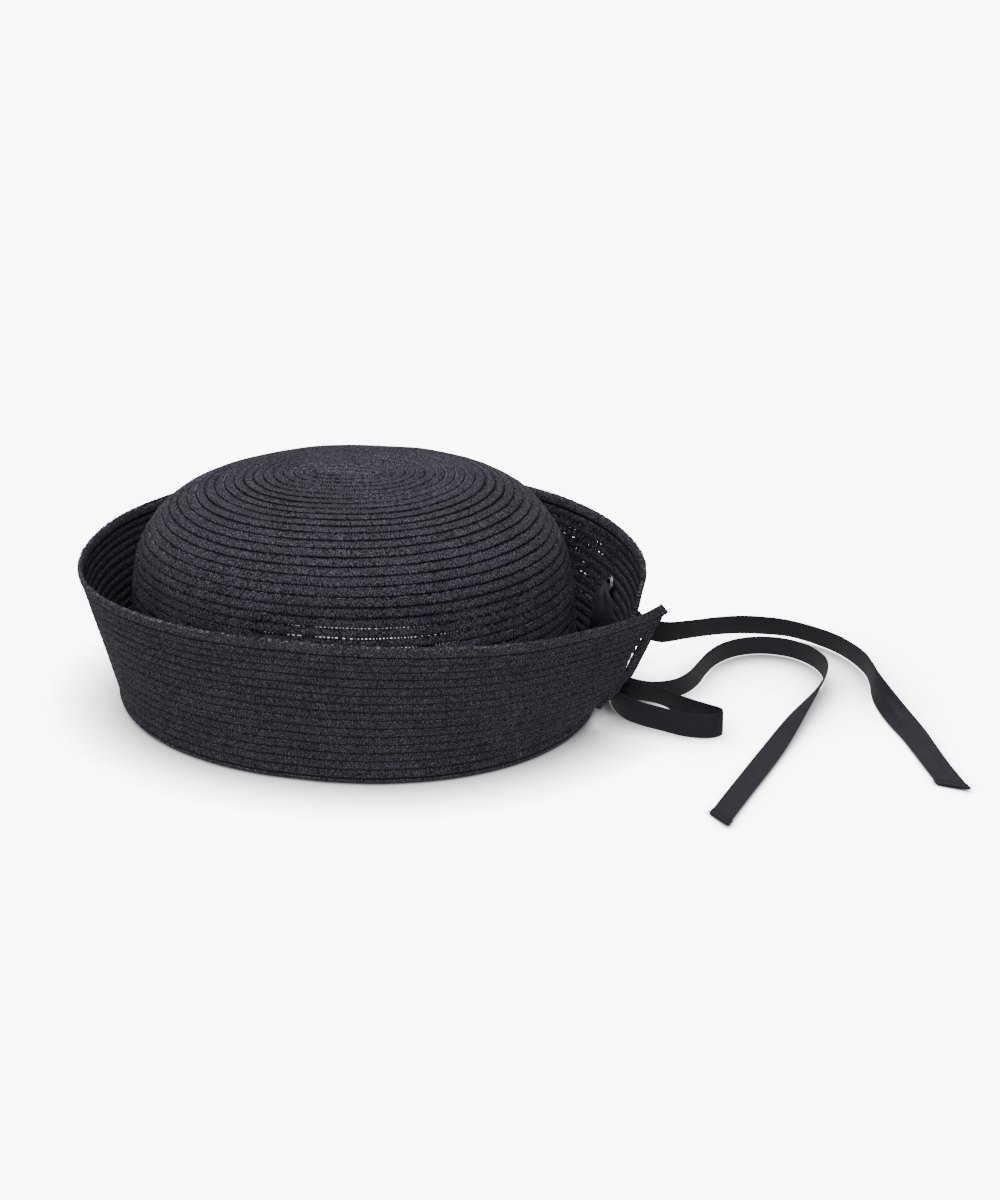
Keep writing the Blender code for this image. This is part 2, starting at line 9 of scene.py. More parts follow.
import bmesh
import bpy
import numpy as np
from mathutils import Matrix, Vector


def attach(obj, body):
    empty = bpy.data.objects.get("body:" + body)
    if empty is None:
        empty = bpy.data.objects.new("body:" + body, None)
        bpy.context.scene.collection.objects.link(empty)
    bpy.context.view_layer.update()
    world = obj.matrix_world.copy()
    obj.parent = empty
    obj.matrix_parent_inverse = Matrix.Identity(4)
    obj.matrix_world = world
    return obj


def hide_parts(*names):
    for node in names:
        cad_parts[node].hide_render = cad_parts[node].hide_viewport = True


MM = 0.001

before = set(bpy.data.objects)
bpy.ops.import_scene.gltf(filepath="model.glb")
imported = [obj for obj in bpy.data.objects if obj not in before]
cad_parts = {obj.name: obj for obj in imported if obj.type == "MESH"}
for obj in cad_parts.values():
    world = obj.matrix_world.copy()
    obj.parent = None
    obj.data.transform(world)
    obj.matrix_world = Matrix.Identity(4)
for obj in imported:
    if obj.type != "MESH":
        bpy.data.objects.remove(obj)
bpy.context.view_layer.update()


# Crown. A flat plait of paper strands is sewn round and round itself, from a short straight start in
# the middle of the top to the head opening. Each round laps a little over the one below it.
HAT_AXIS = (-12.1, -3.3)
CROWN_HALF_WIDTH = 85.0
CROWN_LENGTHENING = 16.5
COIL_START_LENGTHENING = 11.5
CROWN_HEIGHT = 109.2
CROWN_SIDE_POWER = 2.8
CROWN_TOP_POWER = 5.3
CROWN_BACK_LIFT = 0.054
CROWN_SIDE_LIFT = -0.018
CROWN_TOP_FORWARD = 3.6
OVAL_SQUARENESS = 0.6
CROWN_LOWEST = 9.6
CROWN_ROW = 4.35
CROWN_SINK = 0.35
BRAID_STEP = 2.5
SEWING_WOBBLE = 0.16
SKIN_STEP = 0.4
TURN_STEP = 0.004

# The plait's look: slanting strands in lanes, short glints painted into its colour, and painted shade in the
# groove above and below each row.
BRAID_TWILL = 1.3
BRAID_LANE = 1.15
DASH_WIDTH = 0.30
DASH_LENGTH = 0.75
# Where the painted groove shade starts, as distances down and up from a row's middle.
GROOVE_SHADE_BELOW = 2.50
CROWN_GROOVE_SHADE_ABOVE = 2.42
CROWN_RELIEF = 0.5
CROWN_CONTRAST = 6.6
BRAID_SHADE = (0.035, 0.032, 0.044)
# Painted highlight: the edge loops take a lighter copy of the plait's colour, as glints along each row's
# edge.
LOOP_GLINT_SHADE = (0.115, 0.105, 0.135)

# Cross-section of the plait: how far each corner is out of the wall, and how far down it.
BRAID_SECTION = (
    (-0.28, -2.25), (-0.56, -2.05), (-0.62, 0.0), (-0.42, 2.05), (0.10, 2.42),
    (0.52, 2.20), (0.66, 1.30), (0.60, 0.10), (0.40, -1.20))

# The loops along each row's upper edge: one loop's length, width and thickness, and its place.
CROWN_LOOP = (1.05, 0.36, 0.36)
CROWN_LOOP_UP = 1.62
LOOP_OUT = 0.36
LOOP_STEP = 1.25

# Where the near side of the crown is sewn loosely, and light comes through between the rows.
LOOSE_TURNS = (-95.0, -30.0)
LOOSE_ROWS = (97.0, 111.0)
LOOSE_GIRTH = 0.852
LOOSE_STITCH = (2.2, 1.12, 0.6)
LOOSE_STITCH_STEP = 1.35

# Strands: the number of sides, and stations from end to end (how far along, how thick, how raised).
STITCH = (5, ((-0.5, 0.2, -0.2), (-0.3, 0.5, 0.3), (0.3, 0.5, 0.3), (0.5, 0.2, -0.2)))
LOOP = (3, ((-0.5, 0.16, -0.3), (0.0, 0.5, 0.25), (0.5, 0.16, -0.3)))


def crown_outline():
    """Reach, height and distance down the crown's outline, from the middle of the top."""
    turn = np.linspace(0.0, 0.5 * math.pi, 3000)
    reach = CROWN_HALF_WIDTH * np.sin(turn) ** (2.0 / CROWN_SIDE_POWER)
    height = CROWN_HEIGHT * np.maximum(np.cos(turn), 0.0) ** (2.0 / CROWN_TOP_POWER)
    steps = np.hypot(np.diff(reach), np.diff(height))
    return reach, height, np.concatenate([[0.0], np.cumsum(steps)])


OUTLINE_REACH, OUTLINE_HEIGHT, OUTLINE_DISTANCE = crown_outline()


def head_oval(turn, reach):
    """The head oval at a reach out from its middle line, turning round from the back."""
    grown = (reach / CROWN_HALF_WIDTH) ** 3
    lengthening = COIL_START_LENGTHENING + (CROWN_LENGTHENING - COIL_START_LENGTHENING) * grown
    along = lengthening * np.sign(np.cos(turn)) * np.abs(np.cos(turn)) ** OVAL_SQUARENESS
    return along + reach * np.cos(turn), reach * np.sin(turn)


def crown_skin(turn, distance):
    """Points of the crown's outer face, for turns in radians and distances down from the top."""
    reach = np.interp(distance, OUTLINE_DISTANCE, OUTLINE_REACH)
    height = np.interp(distance, OUTLINE_DISTANCE, OUTLINE_HEIGHT)
    x, y = head_oval(turn, reach)
    rise = height / CROWN_HEIGHT
    lift = (CROWN_BACK_LIFT * x + CROWN_SIDE_LIFT * y) * rise
    return np.stack([x - CROWN_TOP_FORWARD * rise + HAT_AXIS[0], y + HAT_AXIS[1], height + lift * rise], -1)


def unit(vectors):
    """Vectors at length one. One of no length points up."""
    length = np.linalg.norm(vectors, axis=-1, keepdims=True)
    return np.where(length > 1e-9, vectors / np.maximum(length, 1e-9), (0.0, 0.0, 1.0))


def travelled_along(points):
    """The distance travelled to each of the points."""
    return np.concatenate([[0.0], np.cumsum(np.linalg.norm(np.diff(points, axis=0), axis=1))])


def outward_of(skin, around, across, small_turn, up_the_wall):
    """Outward normals of a skin. Across runs up the brim's wall, and down the crown's."""
    run = skin(around + small_turn, across) - skin(around - small_turn, across)
    slope = skin(around, across + SKIN_STEP) - skin(around, across - SKIN_STEP)
    return unit(np.cross(run, slope) if up_the_wall else np.cross(slope, run))


def crown_outward(turn, distance):
    """The crown's outward ways, at turns in radians and distances down from the top."""
    return outward_of(crown_skin, turn, distance, TURN_STEP, False)


def even_path(points_of, values, step):
    """The values re-spaced so that the points they give are one step apart."""
    travelled = travelled_along(points_of(values))
    count = max(2, int(travelled[-1] / step))
    return np.interp(np.linspace(0.0, travelled[-1], count), travelled, values)


def hand_wobble(points, size, seed):
    """The small unevenness of hand-guided sewing: a smooth field of a few slow waves."""
    rng = np.random.default_rng(seed)
    total = np.zeros(len(points))
    for wave in range(7):
        direction = rng.normal(size=3)
        direction *= rng.uniform(0.12, 0.42) / np.linalg.norm(direction)
        total += np.sin(points @ direction + rng.uniform(0.0, 6.28))
    return total * size / 2.6


def in_scene(name, data):
    """A new object in the scene."""
    made = bpy.data.objects.new(name, data)
    bpy.context.scene.collection.objects.link(made)
    return made


def keep_mark(mesh, mark, values):
    """Keeps a number, a whole number or a vector at each of a mesh's points."""
    vector = values.ndim == 2
    kind = "FLOAT_VECTOR" if vector else "INT" if values.dtype.kind == "i" else "FLOAT"
    data = mesh.attributes.new(mark, kind, "POINT").data
    data.foreach_set("vector" if vector else "value", values.ravel())


def points_object(name, points, **marks):
    """Loose points with marks of their own each."""
    mesh = bpy.data.meshes.new(name)
    mesh.from_pydata((points * MM).tolist(), [], [])
    for mark, values in marks.items():
        keep_mark(mesh, mark, values)
    return in_scene(name, mesh)


def rows_object(name, rows):
    """Braid rows as loose points, each with its row, its outward way and its girth."""
    number = np.concatenate([np.full(len(row["points"]), index) for index, row in enumerate(rows)])
    joined = {mark: np.concatenate([row[mark] for row in rows]) for mark in ("points", "outward", "girth")}
    return points_object(name, row=number.astype(np.int32), **joined)


def section_object(name, corners):
    """A closed flat curve to sweep along rows."""
    curve = bpy.data.curves.new(name, "CURVE")
    spline = curve.splines.new("POLY")
    spline.points.add(len(corners) - 1)
    for point, (out, down) in zip(spline.points, corners):
        point.co = (out * MM, down * MM, 0.0, 1.0)
    spline.use_cyclic_u = True
    return in_scene(name, curve)


def strand_object(name, sides, stations):
    """A short strand one unit long, wide and thick, tapered and closed at both ends."""
    bm = bmesh.new()
    rings = []
    for place, girth, rise in stations:
        turns = [2.0 * math.pi * side / sides for side in range(sides)]
        rings.append([bm.verts.new((place, girth * math.cos(turn), rise + girth * math.sin(turn)))
                      for turn in turns])
    for near, far in zip(rings, rings[1:]):
        for side in range(sides):
            following = (side + 1) % sides
            bm.faces.new((near[side], far[side], far[following], near[following]))
    bm.faces.new(rings[0])
    bm.faces.new(rings[-1])
    bmesh.ops.recalc_face_normals(bm, faces=bm.faces)
    mesh = bpy.data.meshes.new(name)
    bm.to_mesh(mesh)
    bm.free()
    return in_scene(name, mesh)


def set_inputs(tree, node, inputs):
    """Sets a node's inputs, each to a value or to another node's output."""
    for name, value in inputs.items():
        if isinstance(value, bpy.types.NodeSocket):
            tree.links.new(value, node.inputs[name])
        else:
            node.inputs[name].default_value = value


def make_node(tree, kind, inputs, **settings):
    """A new node's outputs. Its settings come before its inputs, which some of them bring."""
    node = tree.nodes.new(kind)
    for setting, value in settings.items():
        setattr(node, setting, value)
    set_inputs(tree, node, inputs)
    return node.outputs


def attribute_node(tree, name, kind):
    """A Named Attribute node's output of that kind."""
    outputs = make_node(tree, "GeometryNodeInputNamedAttribute", {"Name": name}, data_type=kind)
    return next(socket for socket in outputs if socket.name == "Attribute" and socket.enabled)


def kept_value(tree, geometry, name, value):
    """The geometry with a value kept on it, and that value."""
    node = tree.nodes.new("GeometryNodeCaptureAttribute")
    node.capture_items.new("FLOAT", name)
    set_inputs(tree, node, {"Geometry": geometry, name: value})
    return node.outputs["Geometry"], node.outputs[name]


def open_tree(name, shape):
    """A new geometry tree that takes points, the shape to set on them and their finish."""
    tree = bpy.data.node_groups.new(name, "GeometryNodeTree")
    for label, way, kind in (
            ("Geometry", "INPUT", "NodeSocketGeometry"), (shape, "INPUT", "NodeSocketObject"),
            ("Finish", "INPUT", "NodeSocketMaterial"), ("Geometry", "OUTPUT", "NodeSocketGeometry")):
        tree.interface.new_socket(label, in_out=way, socket_type=kind)
    given = tree.nodes.new("NodeGroupInput").outputs
    shape_given = make_node(tree, "GeometryNodeObjectInfo", {"Object": given[shape]})
    return tree, given, shape_given["Geometry"]


def close_tree(tree, last, finish):
    """Every tree ends in smooth, realized shapes with one material."""
    smooth = make_node(tree, "GeometryNodeSetShadeSmooth", {"Geometry": last})
    realized = make_node(tree, "GeometryNodeRealizeInstances", {"Geometry": smooth["Geometry"]})
    finished = make_node(tree, "GeometryNodeSetMaterial", {
        "Geometry": realized["Geometry"], "Material": finish})
    make_node(tree, "NodeGroupOutput", {"Geometry": finished["Geometry"]})
    return tree


def sewn_rows_tree():
    """Sweeps a section along rows of points, and keeps the place along and across each row."""
    tree, given, section = open_tree("sewn_rows", "Section")
    points = make_node(tree, "GeometryNodeMeshToPoints", {"Mesh": given["Geometry"]})
    curves = make_node(tree, "GeometryNodePointsToCurves", {
        "Points": points["Points"], "Curve Group ID": attribute_node(tree, "row", "INT"),
        "Weight": make_node(tree, "GeometryNodeInputIndex", {})["Index"]})
    facing = make_node(tree, "GeometryNodeSetCurveNormal", {
        "Curve": curves["Curves"], "Normal": attribute_node(tree, "outward", "FLOAT_VECTOR")}, mode="FREE")
    length = make_node(tree, "GeometryNodeSplineParameter", {})["Length"]
    corner = make_node(tree, "GeometryNodeInputPosition", {})["Position"]
    corner_down = make_node(tree, "ShaderNodeSeparateXYZ", {"Vector": corner})["Y"]
    rows, along = kept_value(tree, facing["Curve"], "Along", length)
    profile, across = kept_value(tree, section, "Across", corner_down)
    last = make_node(tree, "GeometryNodeCurveToMesh", {
        "Curve": rows, "Profile Curve": profile, "Scale": attribute_node(tree, "girth", "FLOAT"),
        "Fill Caps": True})["Mesh"]
    for name, value in (("along", along), ("across", across)):
        last = make_node(tree, "GeometryNodeStoreNamedAttribute", {
            "Geometry": last, "Name": name, "Value": value}, data_type="FLOAT", domain="POINT")["Geometry"]
    return close_tree(tree, last, given["Finish"])


def strewn_strands_tree():
    """Sets one strand on every point, standing out along outward and lying along run."""
    tree, given, strand = open_tree("strewn_strands", "Strand")
    turn = make_node(tree, "FunctionNodeAxesToRotation", {
        "Primary Axis": attribute_node(tree, "run", "FLOAT_VECTOR"),
        "Secondary Axis": attribute_node(tree, "outward", "FLOAT_VECTOR")},
        primary_axis="X", secondary_axis="Z")
    placed = make_node(tree, "GeometryNodeInstanceOnPoints", {
        "Points": given["Geometry"], "Instance": strand, "Rotation": turn["Rotation"],
        "Scale": attribute_node(tree, "size", "FLOAT_VECTOR")})
    return close_tree(tree, placed["Instances"], given["Finish"])


def grow(source, tree, settings, name):
    """Runs a geometry tree on an object and keeps the result as a plain mesh piece."""
    modifier = source.modifiers.new(tree.name, "NODES")
    modifier.node_group = tree
    for item in tree.interface.items_tree:
        if item.in_out == "INPUT" and item.name in settings:
            modifier[item.identifier] = settings[item.name]
    graph = bpy.context.evaluated_depsgraph_get()
    mesh = bpy.data.meshes.new_from_object(source.evaluated_get(graph))
    source.modifiers.remove(modifier)
    mesh.name = name
    for used in [source] + [value for value in settings.values() if isinstance(value, bpy.types.Object)]:
        bpy.data.objects.remove(used, do_unlink=True)
    return in_scene(name, mesh)


def braid_piece(name, rows, section, finish):
    """One piece of braid, swept along its rows."""
    return grow(rows_object(name + "_rows", rows), sewn_rows, {
        "Section": section_object(name + "_section", section), "Finish": finish}, name)


def strand_piece(name, places, strand, finish):
    """One piece of many strands, each at a place of its own."""
    return grow(points_object(name + "_places", **places), strewn_strands, {
        "Strand": strand_object(name + "_strand", *strand), "Finish": finish}, name)


def math_node(tree, operation, *values):
    """A Math node's output. Each value is a number or another node's output."""
    node = tree.nodes.new("ShaderNodeMath")
    node.operation = operation
    for socket, value in zip(node.inputs, values):
        if isinstance(value, (int, float)):
            socket.default_value = value
        else:
            tree.links.new(value, socket)
    return node.outputs["Value"]


def blend_of(tree, *parts):
    """The sum of several outputs, each with its share."""
    total = 0.0
    for value, share in parts:
        total = math_node(tree, "MULTIPLY_ADD", value, share, total)
    return total


def wave_node(tree, place, spacing):
    """A wave from nothing to one and back, once in each spacing."""
    turned = math_node(tree, "MULTIPLY", place, 2.0 * math.pi / spacing)
    return math_node(tree, "MULTIPLY_ADD", math_node(tree, "SINE", turned), 0.5, 0.5)


def ramp_node(tree, factor, stops):
    """A colour ramp with stops of (place, colour)."""
    node = tree.nodes.new("ShaderNodeValToRGB")
    ramp = node.color_ramp
    while len(ramp.elements) < len(stops):
        ramp.elements.new(0.5)
    for element, (place, colour) in zip(ramp.elements, stops):
        element.position = place
        element.color = (*colour, 1.0)
    tree.links.new(factor, node.inputs["Fac"])
    return node.outputs["Color"]


def noise_node(tree, vector, scale, detail, roughness=0.5):
    return make_node(tree, "ShaderNodeTexNoise", {
        "Vector": vector, "Scale": scale, "Detail": detail, "Roughness": roughness})["Fac"]


def mark_node(tree, name):
    """A mark kept on the mesh, in millimetres."""
    node = tree.nodes.new("ShaderNodeAttribute")
    node.attribute_name = name
    return math_node(tree, "DIVIDE", node.outputs["Fac"], MM)


def bump_node(tree, height, strength, distance):
    """A bumped normal. The distance is in millimetres."""
    return make_node(tree, "ShaderNodeBump", {
        "Height": height, "Strength": strength, "Distance": distance * MM})["Normal"]


def part_of(tree, vector, axis):
    """A vector's part along one axis."""
    return make_node(tree, "ShaderNodeSeparateXYZ", {"Vector": vector})[axis]


def open_material(name):
    """A new Principled material, its tree, its shader and its Object coordinates."""
    material = bpy.data.materials.new(name)
    material.use_nodes = True
    tree = material.node_tree
    place = tree.nodes.new("ShaderNodeTexCoord").outputs["Object"]
    return material, tree, tree.nodes["Principled BSDF"], place


def shades(shade, *stops):
    """Stops of a ramp from (place, share of the shade)."""
    return [(place, tuple(share * value for value in shade)) for place, share in stops]


def paper_braid_finish(name, shade, contrast, groove_shade_above, relief):
    """Black paper plait: slanting strands in lanes, glints on the paper's folds painted into its colour, and
    painted shade in the grooves between rows.
    """
    material, tree, shader, place = open_material(name)
    maths = partial(math_node, tree)
    along = mark_node(tree, "along")
    across = mark_node(tree, "across")
    lane = maths("PINGPONG", maths("ADD", across, 2.0 * BRAID_LANE), BRAID_LANE)
    waver = noise_node(tree, place, 420.0, 2.0)
    slant = maths("MULTIPLY_ADD", lane, 0.85, maths("MULTIPLY", waver, 1.8))
    slid = maths("ADD", along, slant)
    strand = wave_node(tree, slid, BRAID_TWILL)
    plait_place = make_node(tree, "ShaderNodeCombineXYZ", {
        "X": maths("MULTIPLY", slid, 1.0 / DASH_WIDTH), "Y": maths("MULTIPLY", across, 1.0 / DASH_LENGTH),
        "Z": maths("MULTIPLY", part_of(tree, place, "Z"), 260.0)})
    dash = noise_node(tree, plait_place["Vector"], 1.0, 1.0, 0.4)
    grain = noise_node(tree, place, 2600.0, 2.0, 0.6)
    blotch = noise_node(tree, place, 60.0, 3.0)
    # Painted shade: the colour darkens towards each row's lower and upper edges, where the groove between
    # rows lies in shade.
    from_lower_edge = maths("MULTIPLY", maths("SUBTRACT", GROOVE_SHADE_BELOW, across), 1.35)
    from_upper_edge = maths("MULTIPLY", maths("ADD", across, groove_shade_above), 1.7)
    groove_shade_ramp = maths("MINIMUM", from_lower_edge, from_upper_edge)
    seam = maths("MAXIMUM", maths("MINIMUM", groove_shade_ramp, 1.0), 0.08)
    tone = blend_of(tree, (dash, 0.62), (grain, 0.32), (strand, 0.07), (blotch, 0.06))
    tone = maths("MULTIPLY", maths("MULTIPLY_ADD", maths("SUBTRACT", tone, 0.53), contrast, 0.5), seam)
    bright = maths("MINIMUM", maths("MAXIMUM", tone, 0.0), 1.0)
    height = maths("MULTIPLY_ADD", strand, 0.2, maths("ADD", dash, grain))
    # Painted highlight: the ramp's brightest stops paint glints on the paper's folds into the colour.
    set_inputs(tree, shader, {
        "Base Color": ramp_node(tree, tone, shades(
            shade, (0.05, 0.12), (0.35, 0.45), (0.55, 0.95), (0.75, 2.1), (0.98, 5.0))),
        "Roughness": maths("MULTIPLY_ADD", bright, -0.35, 0.85),
        "Specular IOR Level": 0.30,
        "Normal": bump_node(tree, height, 1.0, relief)})
    return material


def within(values, low, high, edge):
    """One inside the limits, falling to nothing over the edge outside them."""
    return np.clip((values - low) / edge + 1.0, 0.0, 1.0) * np.clip((high - values) / edge + 1.0, 0.0, 1.0)


def crown_coil():
    """The one long row of the crown, wound from its straight start to the head opening."""
    length = np.interp(-CROWN_LOWEST, -OUTLINE_HEIGHT, OUTLINE_DISTANCE) - 0.5 * CROWN_ROW
    last_turn = 2.0 * math.pi * length / CROWN_ROW

    def points_of(turn):
        return crown_skin(turn, CROWN_ROW * turn / (2.0 * math.pi))

    turn = even_path(points_of, np.linspace(0.0, last_turn, 24000), BRAID_STEP)
    distance = CROWN_ROW * turn / (2.0 * math.pi)
    outward = crown_outward(turn, distance)
    points = points_of(turn)
    points += outward * (hand_wobble(points, SEWING_WOBBLE, 3)[:, None] - CROWN_SINK)
    points[:, 2] += hand_wobble(points, 0.10, 8)
    bearing = (np.degrees(turn) + 180.0) % 360.0 - 180.0
    loose = within(bearing, *LOOSE_TURNS, 8.0) * within(distance, *LOOSE_ROWS, 2.0)
    uneven = np.clip(1.0 + hand_wobble(points * 1.7, 0.5, 14), 0.0, 1.0)
    return {"points": points, "outward": outward, "girth": 1.0 - (1.0 - LOOSE_GIRTH) * loose * uneven}


def bridging_stitches(skin, outward, around, across, size):
    """Stitches that cross a loose seam: their places, outward and down-the-wall ways."""
    run = unit(skin(around, across + SKIN_STEP) - skin(around, across - SKIN_STEP))
    return {"points": skin(around, across) - outward * CROWN_SINK, "outward": outward, "run": run,
            "size": np.tile(np.array(size) * MM, (len(around), 1))}


def loose_seam_stitches():
    """The strands that cross the loosely sewn seams of the crown's near side."""
    rng = np.random.default_rng(21)
    turn = []
    distance = []
    for row in range(int(LOOSE_ROWS[0] / CROWN_ROW) - 1, int(LOOSE_ROWS[1] / CROWN_ROW) + 2):
        step = math.degrees(LOOSE_STITCH_STEP / CROWN_HALF_WIDTH)
        bearing = np.arange(LOOSE_TURNS[0] - 10.0, LOOSE_TURNS[1] + 10.0, step)
        bearing = bearing + rng.uniform(-0.2, 0.2, len(bearing))
        turn.append(np.radians(bearing))
        distance.append(CROWN_ROW * (row + bearing / 360.0 + 0.5))
    turn = np.concatenate(turn)
    distance = np.concatenate(distance)
    return bridging_stitches(crown_skin, crown_outward(turn, distance), turn, distance, LOOSE_STITCH)


def edge_loops(rows, seed, above, loop_size):
    """The paper loops along each row's upper edge, where the plait turns back on itself."""
    rng = np.random.default_rng(seed)
    made = {"points": [], "outward": [], "run": []}
    for row in rows:
        travelled = travelled_along(row["points"])
        place = np.arange(0.5, travelled[-1] - 0.5, LOOP_STEP)
        place = place + rng.uniform(-0.25, 0.25, len(place))
        slope = np.gradient(row["points"], axis=0)
        at, facing, run = (np.stack([np.interp(place, travelled, values[:, axis]) for axis in range(3)], -1)
                           for values in (row["points"], row["outward"], slope))
        outward = unit(facing)
        run = unit(run)
        down = unit(np.cross(run, outward))
        girth = np.interp(place, travelled, row["girth"])[:, None]
        made["points"].append(at + girth * (outward * LOOP_OUT - down * above))
        made["outward"].append(outward)
        made["run"].append(unit(run + down * rng.uniform(0.3, 0.9, len(place))[:, None]))
    joined = {mark: np.concatenate(values) for mark, values in made.items()}
    size = rng.uniform(0.75, 1.15, len(joined["points"]))[:, None] * np.array(loop_size) * MM
    return {**joined, "size": size}


braid_black = paper_braid_finish(
    "black_paper_braid", BRAID_SHADE, CROWN_CONTRAST, CROWN_GROOVE_SHADE_ABOVE, CROWN_RELIEF)
# The loops' lighter copy of the plait paints glints along the rows' edges.
loop_glint = paper_braid_finish(
    "paper_braid_edge", LOOP_GLINT_SHADE, CROWN_CONTRAST, CROWN_GROOVE_SHADE_ABOVE, CROWN_RELIEF)
sewn_rows = sewn_rows_tree()
strewn_strands = strewn_strands_tree()
coil = crown_coil()
crown = braid_piece("crown_braid", [coil], BRAID_SECTION, braid_black)
crown_stitches = strand_piece("crown_seam_stitches", loose_seam_stitches(), STITCH, braid_black)
crown_loops = strand_piece(
    "crown_edge_loops", edge_loops([coil], 51, CROWN_LOOP_UP, CROWN_LOOP), LOOP, loop_glint)
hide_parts("crown")
for piece in (crown, crown_stitches, crown_loops):
    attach(piece, "root")


# Brim. The same braid goes on round the fold and up outside the crown, in rows that end at a slit in
# the back. The last row follows the rim and turns down both edges of the slit to bind them.
FOLD_RADIUS = 3.0
FOLD_FLAT = 3.0
WALL = 2.0
BRIM_LENGTH = 67.8
BRIM_TURN_LENGTH = 9.0
SLIT_FOOT = 3.0
NEAR_END_REACH = 32.0
FAR_END_REACH = 25.0
RIM_ROW = 4.8
RIM_CORNER = 6.0
BAND_ROW = 3.7
BAND_ROWS = 3
BAND_GIRTH = 0.86
BRIM_ROW = 4.33
BRIM_WALL_ROWS = 12
FOLD_ROWS = 4
BRIM_BINDING = 4.6
BRIM_SINK = -0.35
BEARING_STEP = 0.15
BRIM_LOOP = (0.85, 0.24, 0.26)
BRIM_LOOP_UP = 1.40
BRIM_CONTRAST = 4.0
# How far above a brim row's middle the painted groove shade starts.
BRIM_GROOVE_SHADE_ABOVE = 1.98
BRIM_RELIEF = 0.3

# The wall's lean in degrees, at every 30 degrees round from the front by the near side.
BRIM_FLARE = (10.0, 16.0, 13.0, 9.5, 13.0, 21.0, 21.0, 17.5, 17.0, 15.5, 9.0, 5.0)

# Where the two edges of the slit go, as shifts away from the plain round of the brim. Each row is the
# share of the way up, then the near edge's shifts back and aside, and the far edge's.
SLIT_EDGES = (
    (0.00, 0.0, 0.0, 0.0, 0.0),
    (0.15, 6.0, -3.0, 0.5, 1.5),
    (0.35, 10.5, -10.5, 1.5, 2.0),
    (0.60, 11.5, -15.0, 2.0, 2.0),
    (0.80, 12.0, -17.5, 1.5, 2.0),
    (1.00, 14.5, -19.5, -1.5, 3.5),
)

# The rim's row is the same plait, rounder and thicker where it wraps the edge, and no painted groove shade
# darkens its upper edge.
RIM_SECTION = (
    (0.10, -2.62), (-0.55, -2.45), (-1.00, -1.60), (-1.02, 1.30), (-0.60, 2.20),
    (0.20, 2.36), (0.92, 2.05), (1.18, 0.70), (1.12, -1.10), (0.78, -2.25))
RIM_GROOVE_SHADE_ABOVE = 6.0
# Painted light: the rim's plait is painted lighter than the rest of the braid, as the light caught along its
# top edge, and its fibres lighter still, as painted highlights.
RIM_LIT_SHADE = (0.042, 0.039, 0.050)
RIM_FIBRE_GLINT_SHADE = (0.085, 0.080, 0.096)
RIM_TIP = (1.2, 0.4)
RIM_TIP_FACES = (0.22, -0.89, 0.39)
RIM_TIP_POINTS = 8
RIM_FIBRES = 5200

# The near edge's binding stands off the brim, and light comes through where the rows stop short of it.
# In each pair the first number is a distance up the wall. The second is, in turn, how far the rows stop
# short of the edge, how far the binding's middle is past it, how far back its foot goes, and its girth.
ROWS_SHORT = ((3.0, 4.6), (5.0, 6.5), (12.0, 6.5), (15.0, 2.2), (30.0, 2.2), (33.0, 7.2), (43.0, 7.2),
              (50.0, 6.0), (54.0, 5.2), (57.0, 2.4), (68.0, 2.4))
BINDING_PAST = ((2.0, -2.3), (8.0, -0.8), (20.0, 0.4), (32.0, 1.0), (48.0, 1.3), (58.0, 0.6), (66.0, -0.8))
BINDING_FOOT_BACK = ((2.0, 3.5), (10.0, 3.0), (20.0, 0.6), (28.0, 0.0))
BINDING_GIRTH = ((3.0, 0.6), (12.0, 1.0), (38.0, 1.12), (56.0, 1.0), (64.0, 0.7))
BINDING_FACES = (0.25, -0.95, 0.1)

# Seams of the far side that show points of light, as bearings and distances up the wall.
BACK_LOOSE_TURNS = (38.0, 54.0)
BACK_LOOSE_ROWS = (30.0, 57.0)
BACK_LOOSE_GIRTH = 0.94
BACK_STITCH = (2.0, 2.25, 0.7)
BACK_STITCH_STEP = 1.5


def smooth_value(before, start, end, after, share):
    """A value on the smooth curve that passes through start and end."""
    return 0.5 * (2.0 * start + (end - before) * share
                  + (2.0 * before - 5.0 * start + 4.0 * end - after) * share ** 2
                  + (3.0 * start - before - 3.0 * end + after) * share ** 3)


def flare_at(bearing):
    """The lean of the brim's wall, in radians, on a smooth curve through the table."""
    table = np.array(BRIM_FLARE)
    place = (bearing + 180.0) % 360.0 / (360.0 / len(table))
    index = np.floor(place).astype(int)
    near = (table[(index + offset) % len(table)] for offset in (-1, 0, 1, 2))
    return np.radians(smooth_value(*near, place - index))


def fold_line(depth):
    """Out and height of the wall's middle, at depths below the wall's foot and round under the hat."""
    quarter = 0.5 * math.pi * FOLD_RADIUS
    outer = np.clip(depth / FOLD_RADIUS, 0.0, 0.5 * math.pi)
    flat = np.clip(depth - quarter, 0.0, FOLD_FLAT)
    inner = np.clip((depth - quarter - FOLD_FLAT) / FOLD_RADIUS, 0.0, 0.5 * math.pi)
    leg = np.maximum(depth - 2.0 * quarter - FOLD_FLAT, 0.0)
    out = 2.0 * FOLD_RADIUS + FOLD_FLAT - 0.5 * WALL - FOLD_RADIUS * (1.0 - np.cos(outer)) - flat
    out = out - FOLD_RADIUS * np.sin(inner)
    height = FOLD_RADIUS + 0.5 * WALL - FOLD_RADIUS * np.sin(outer)
    height = height + FOLD_RADIUS * (1.0 - np.cos(inner)) + leg
    return out, height


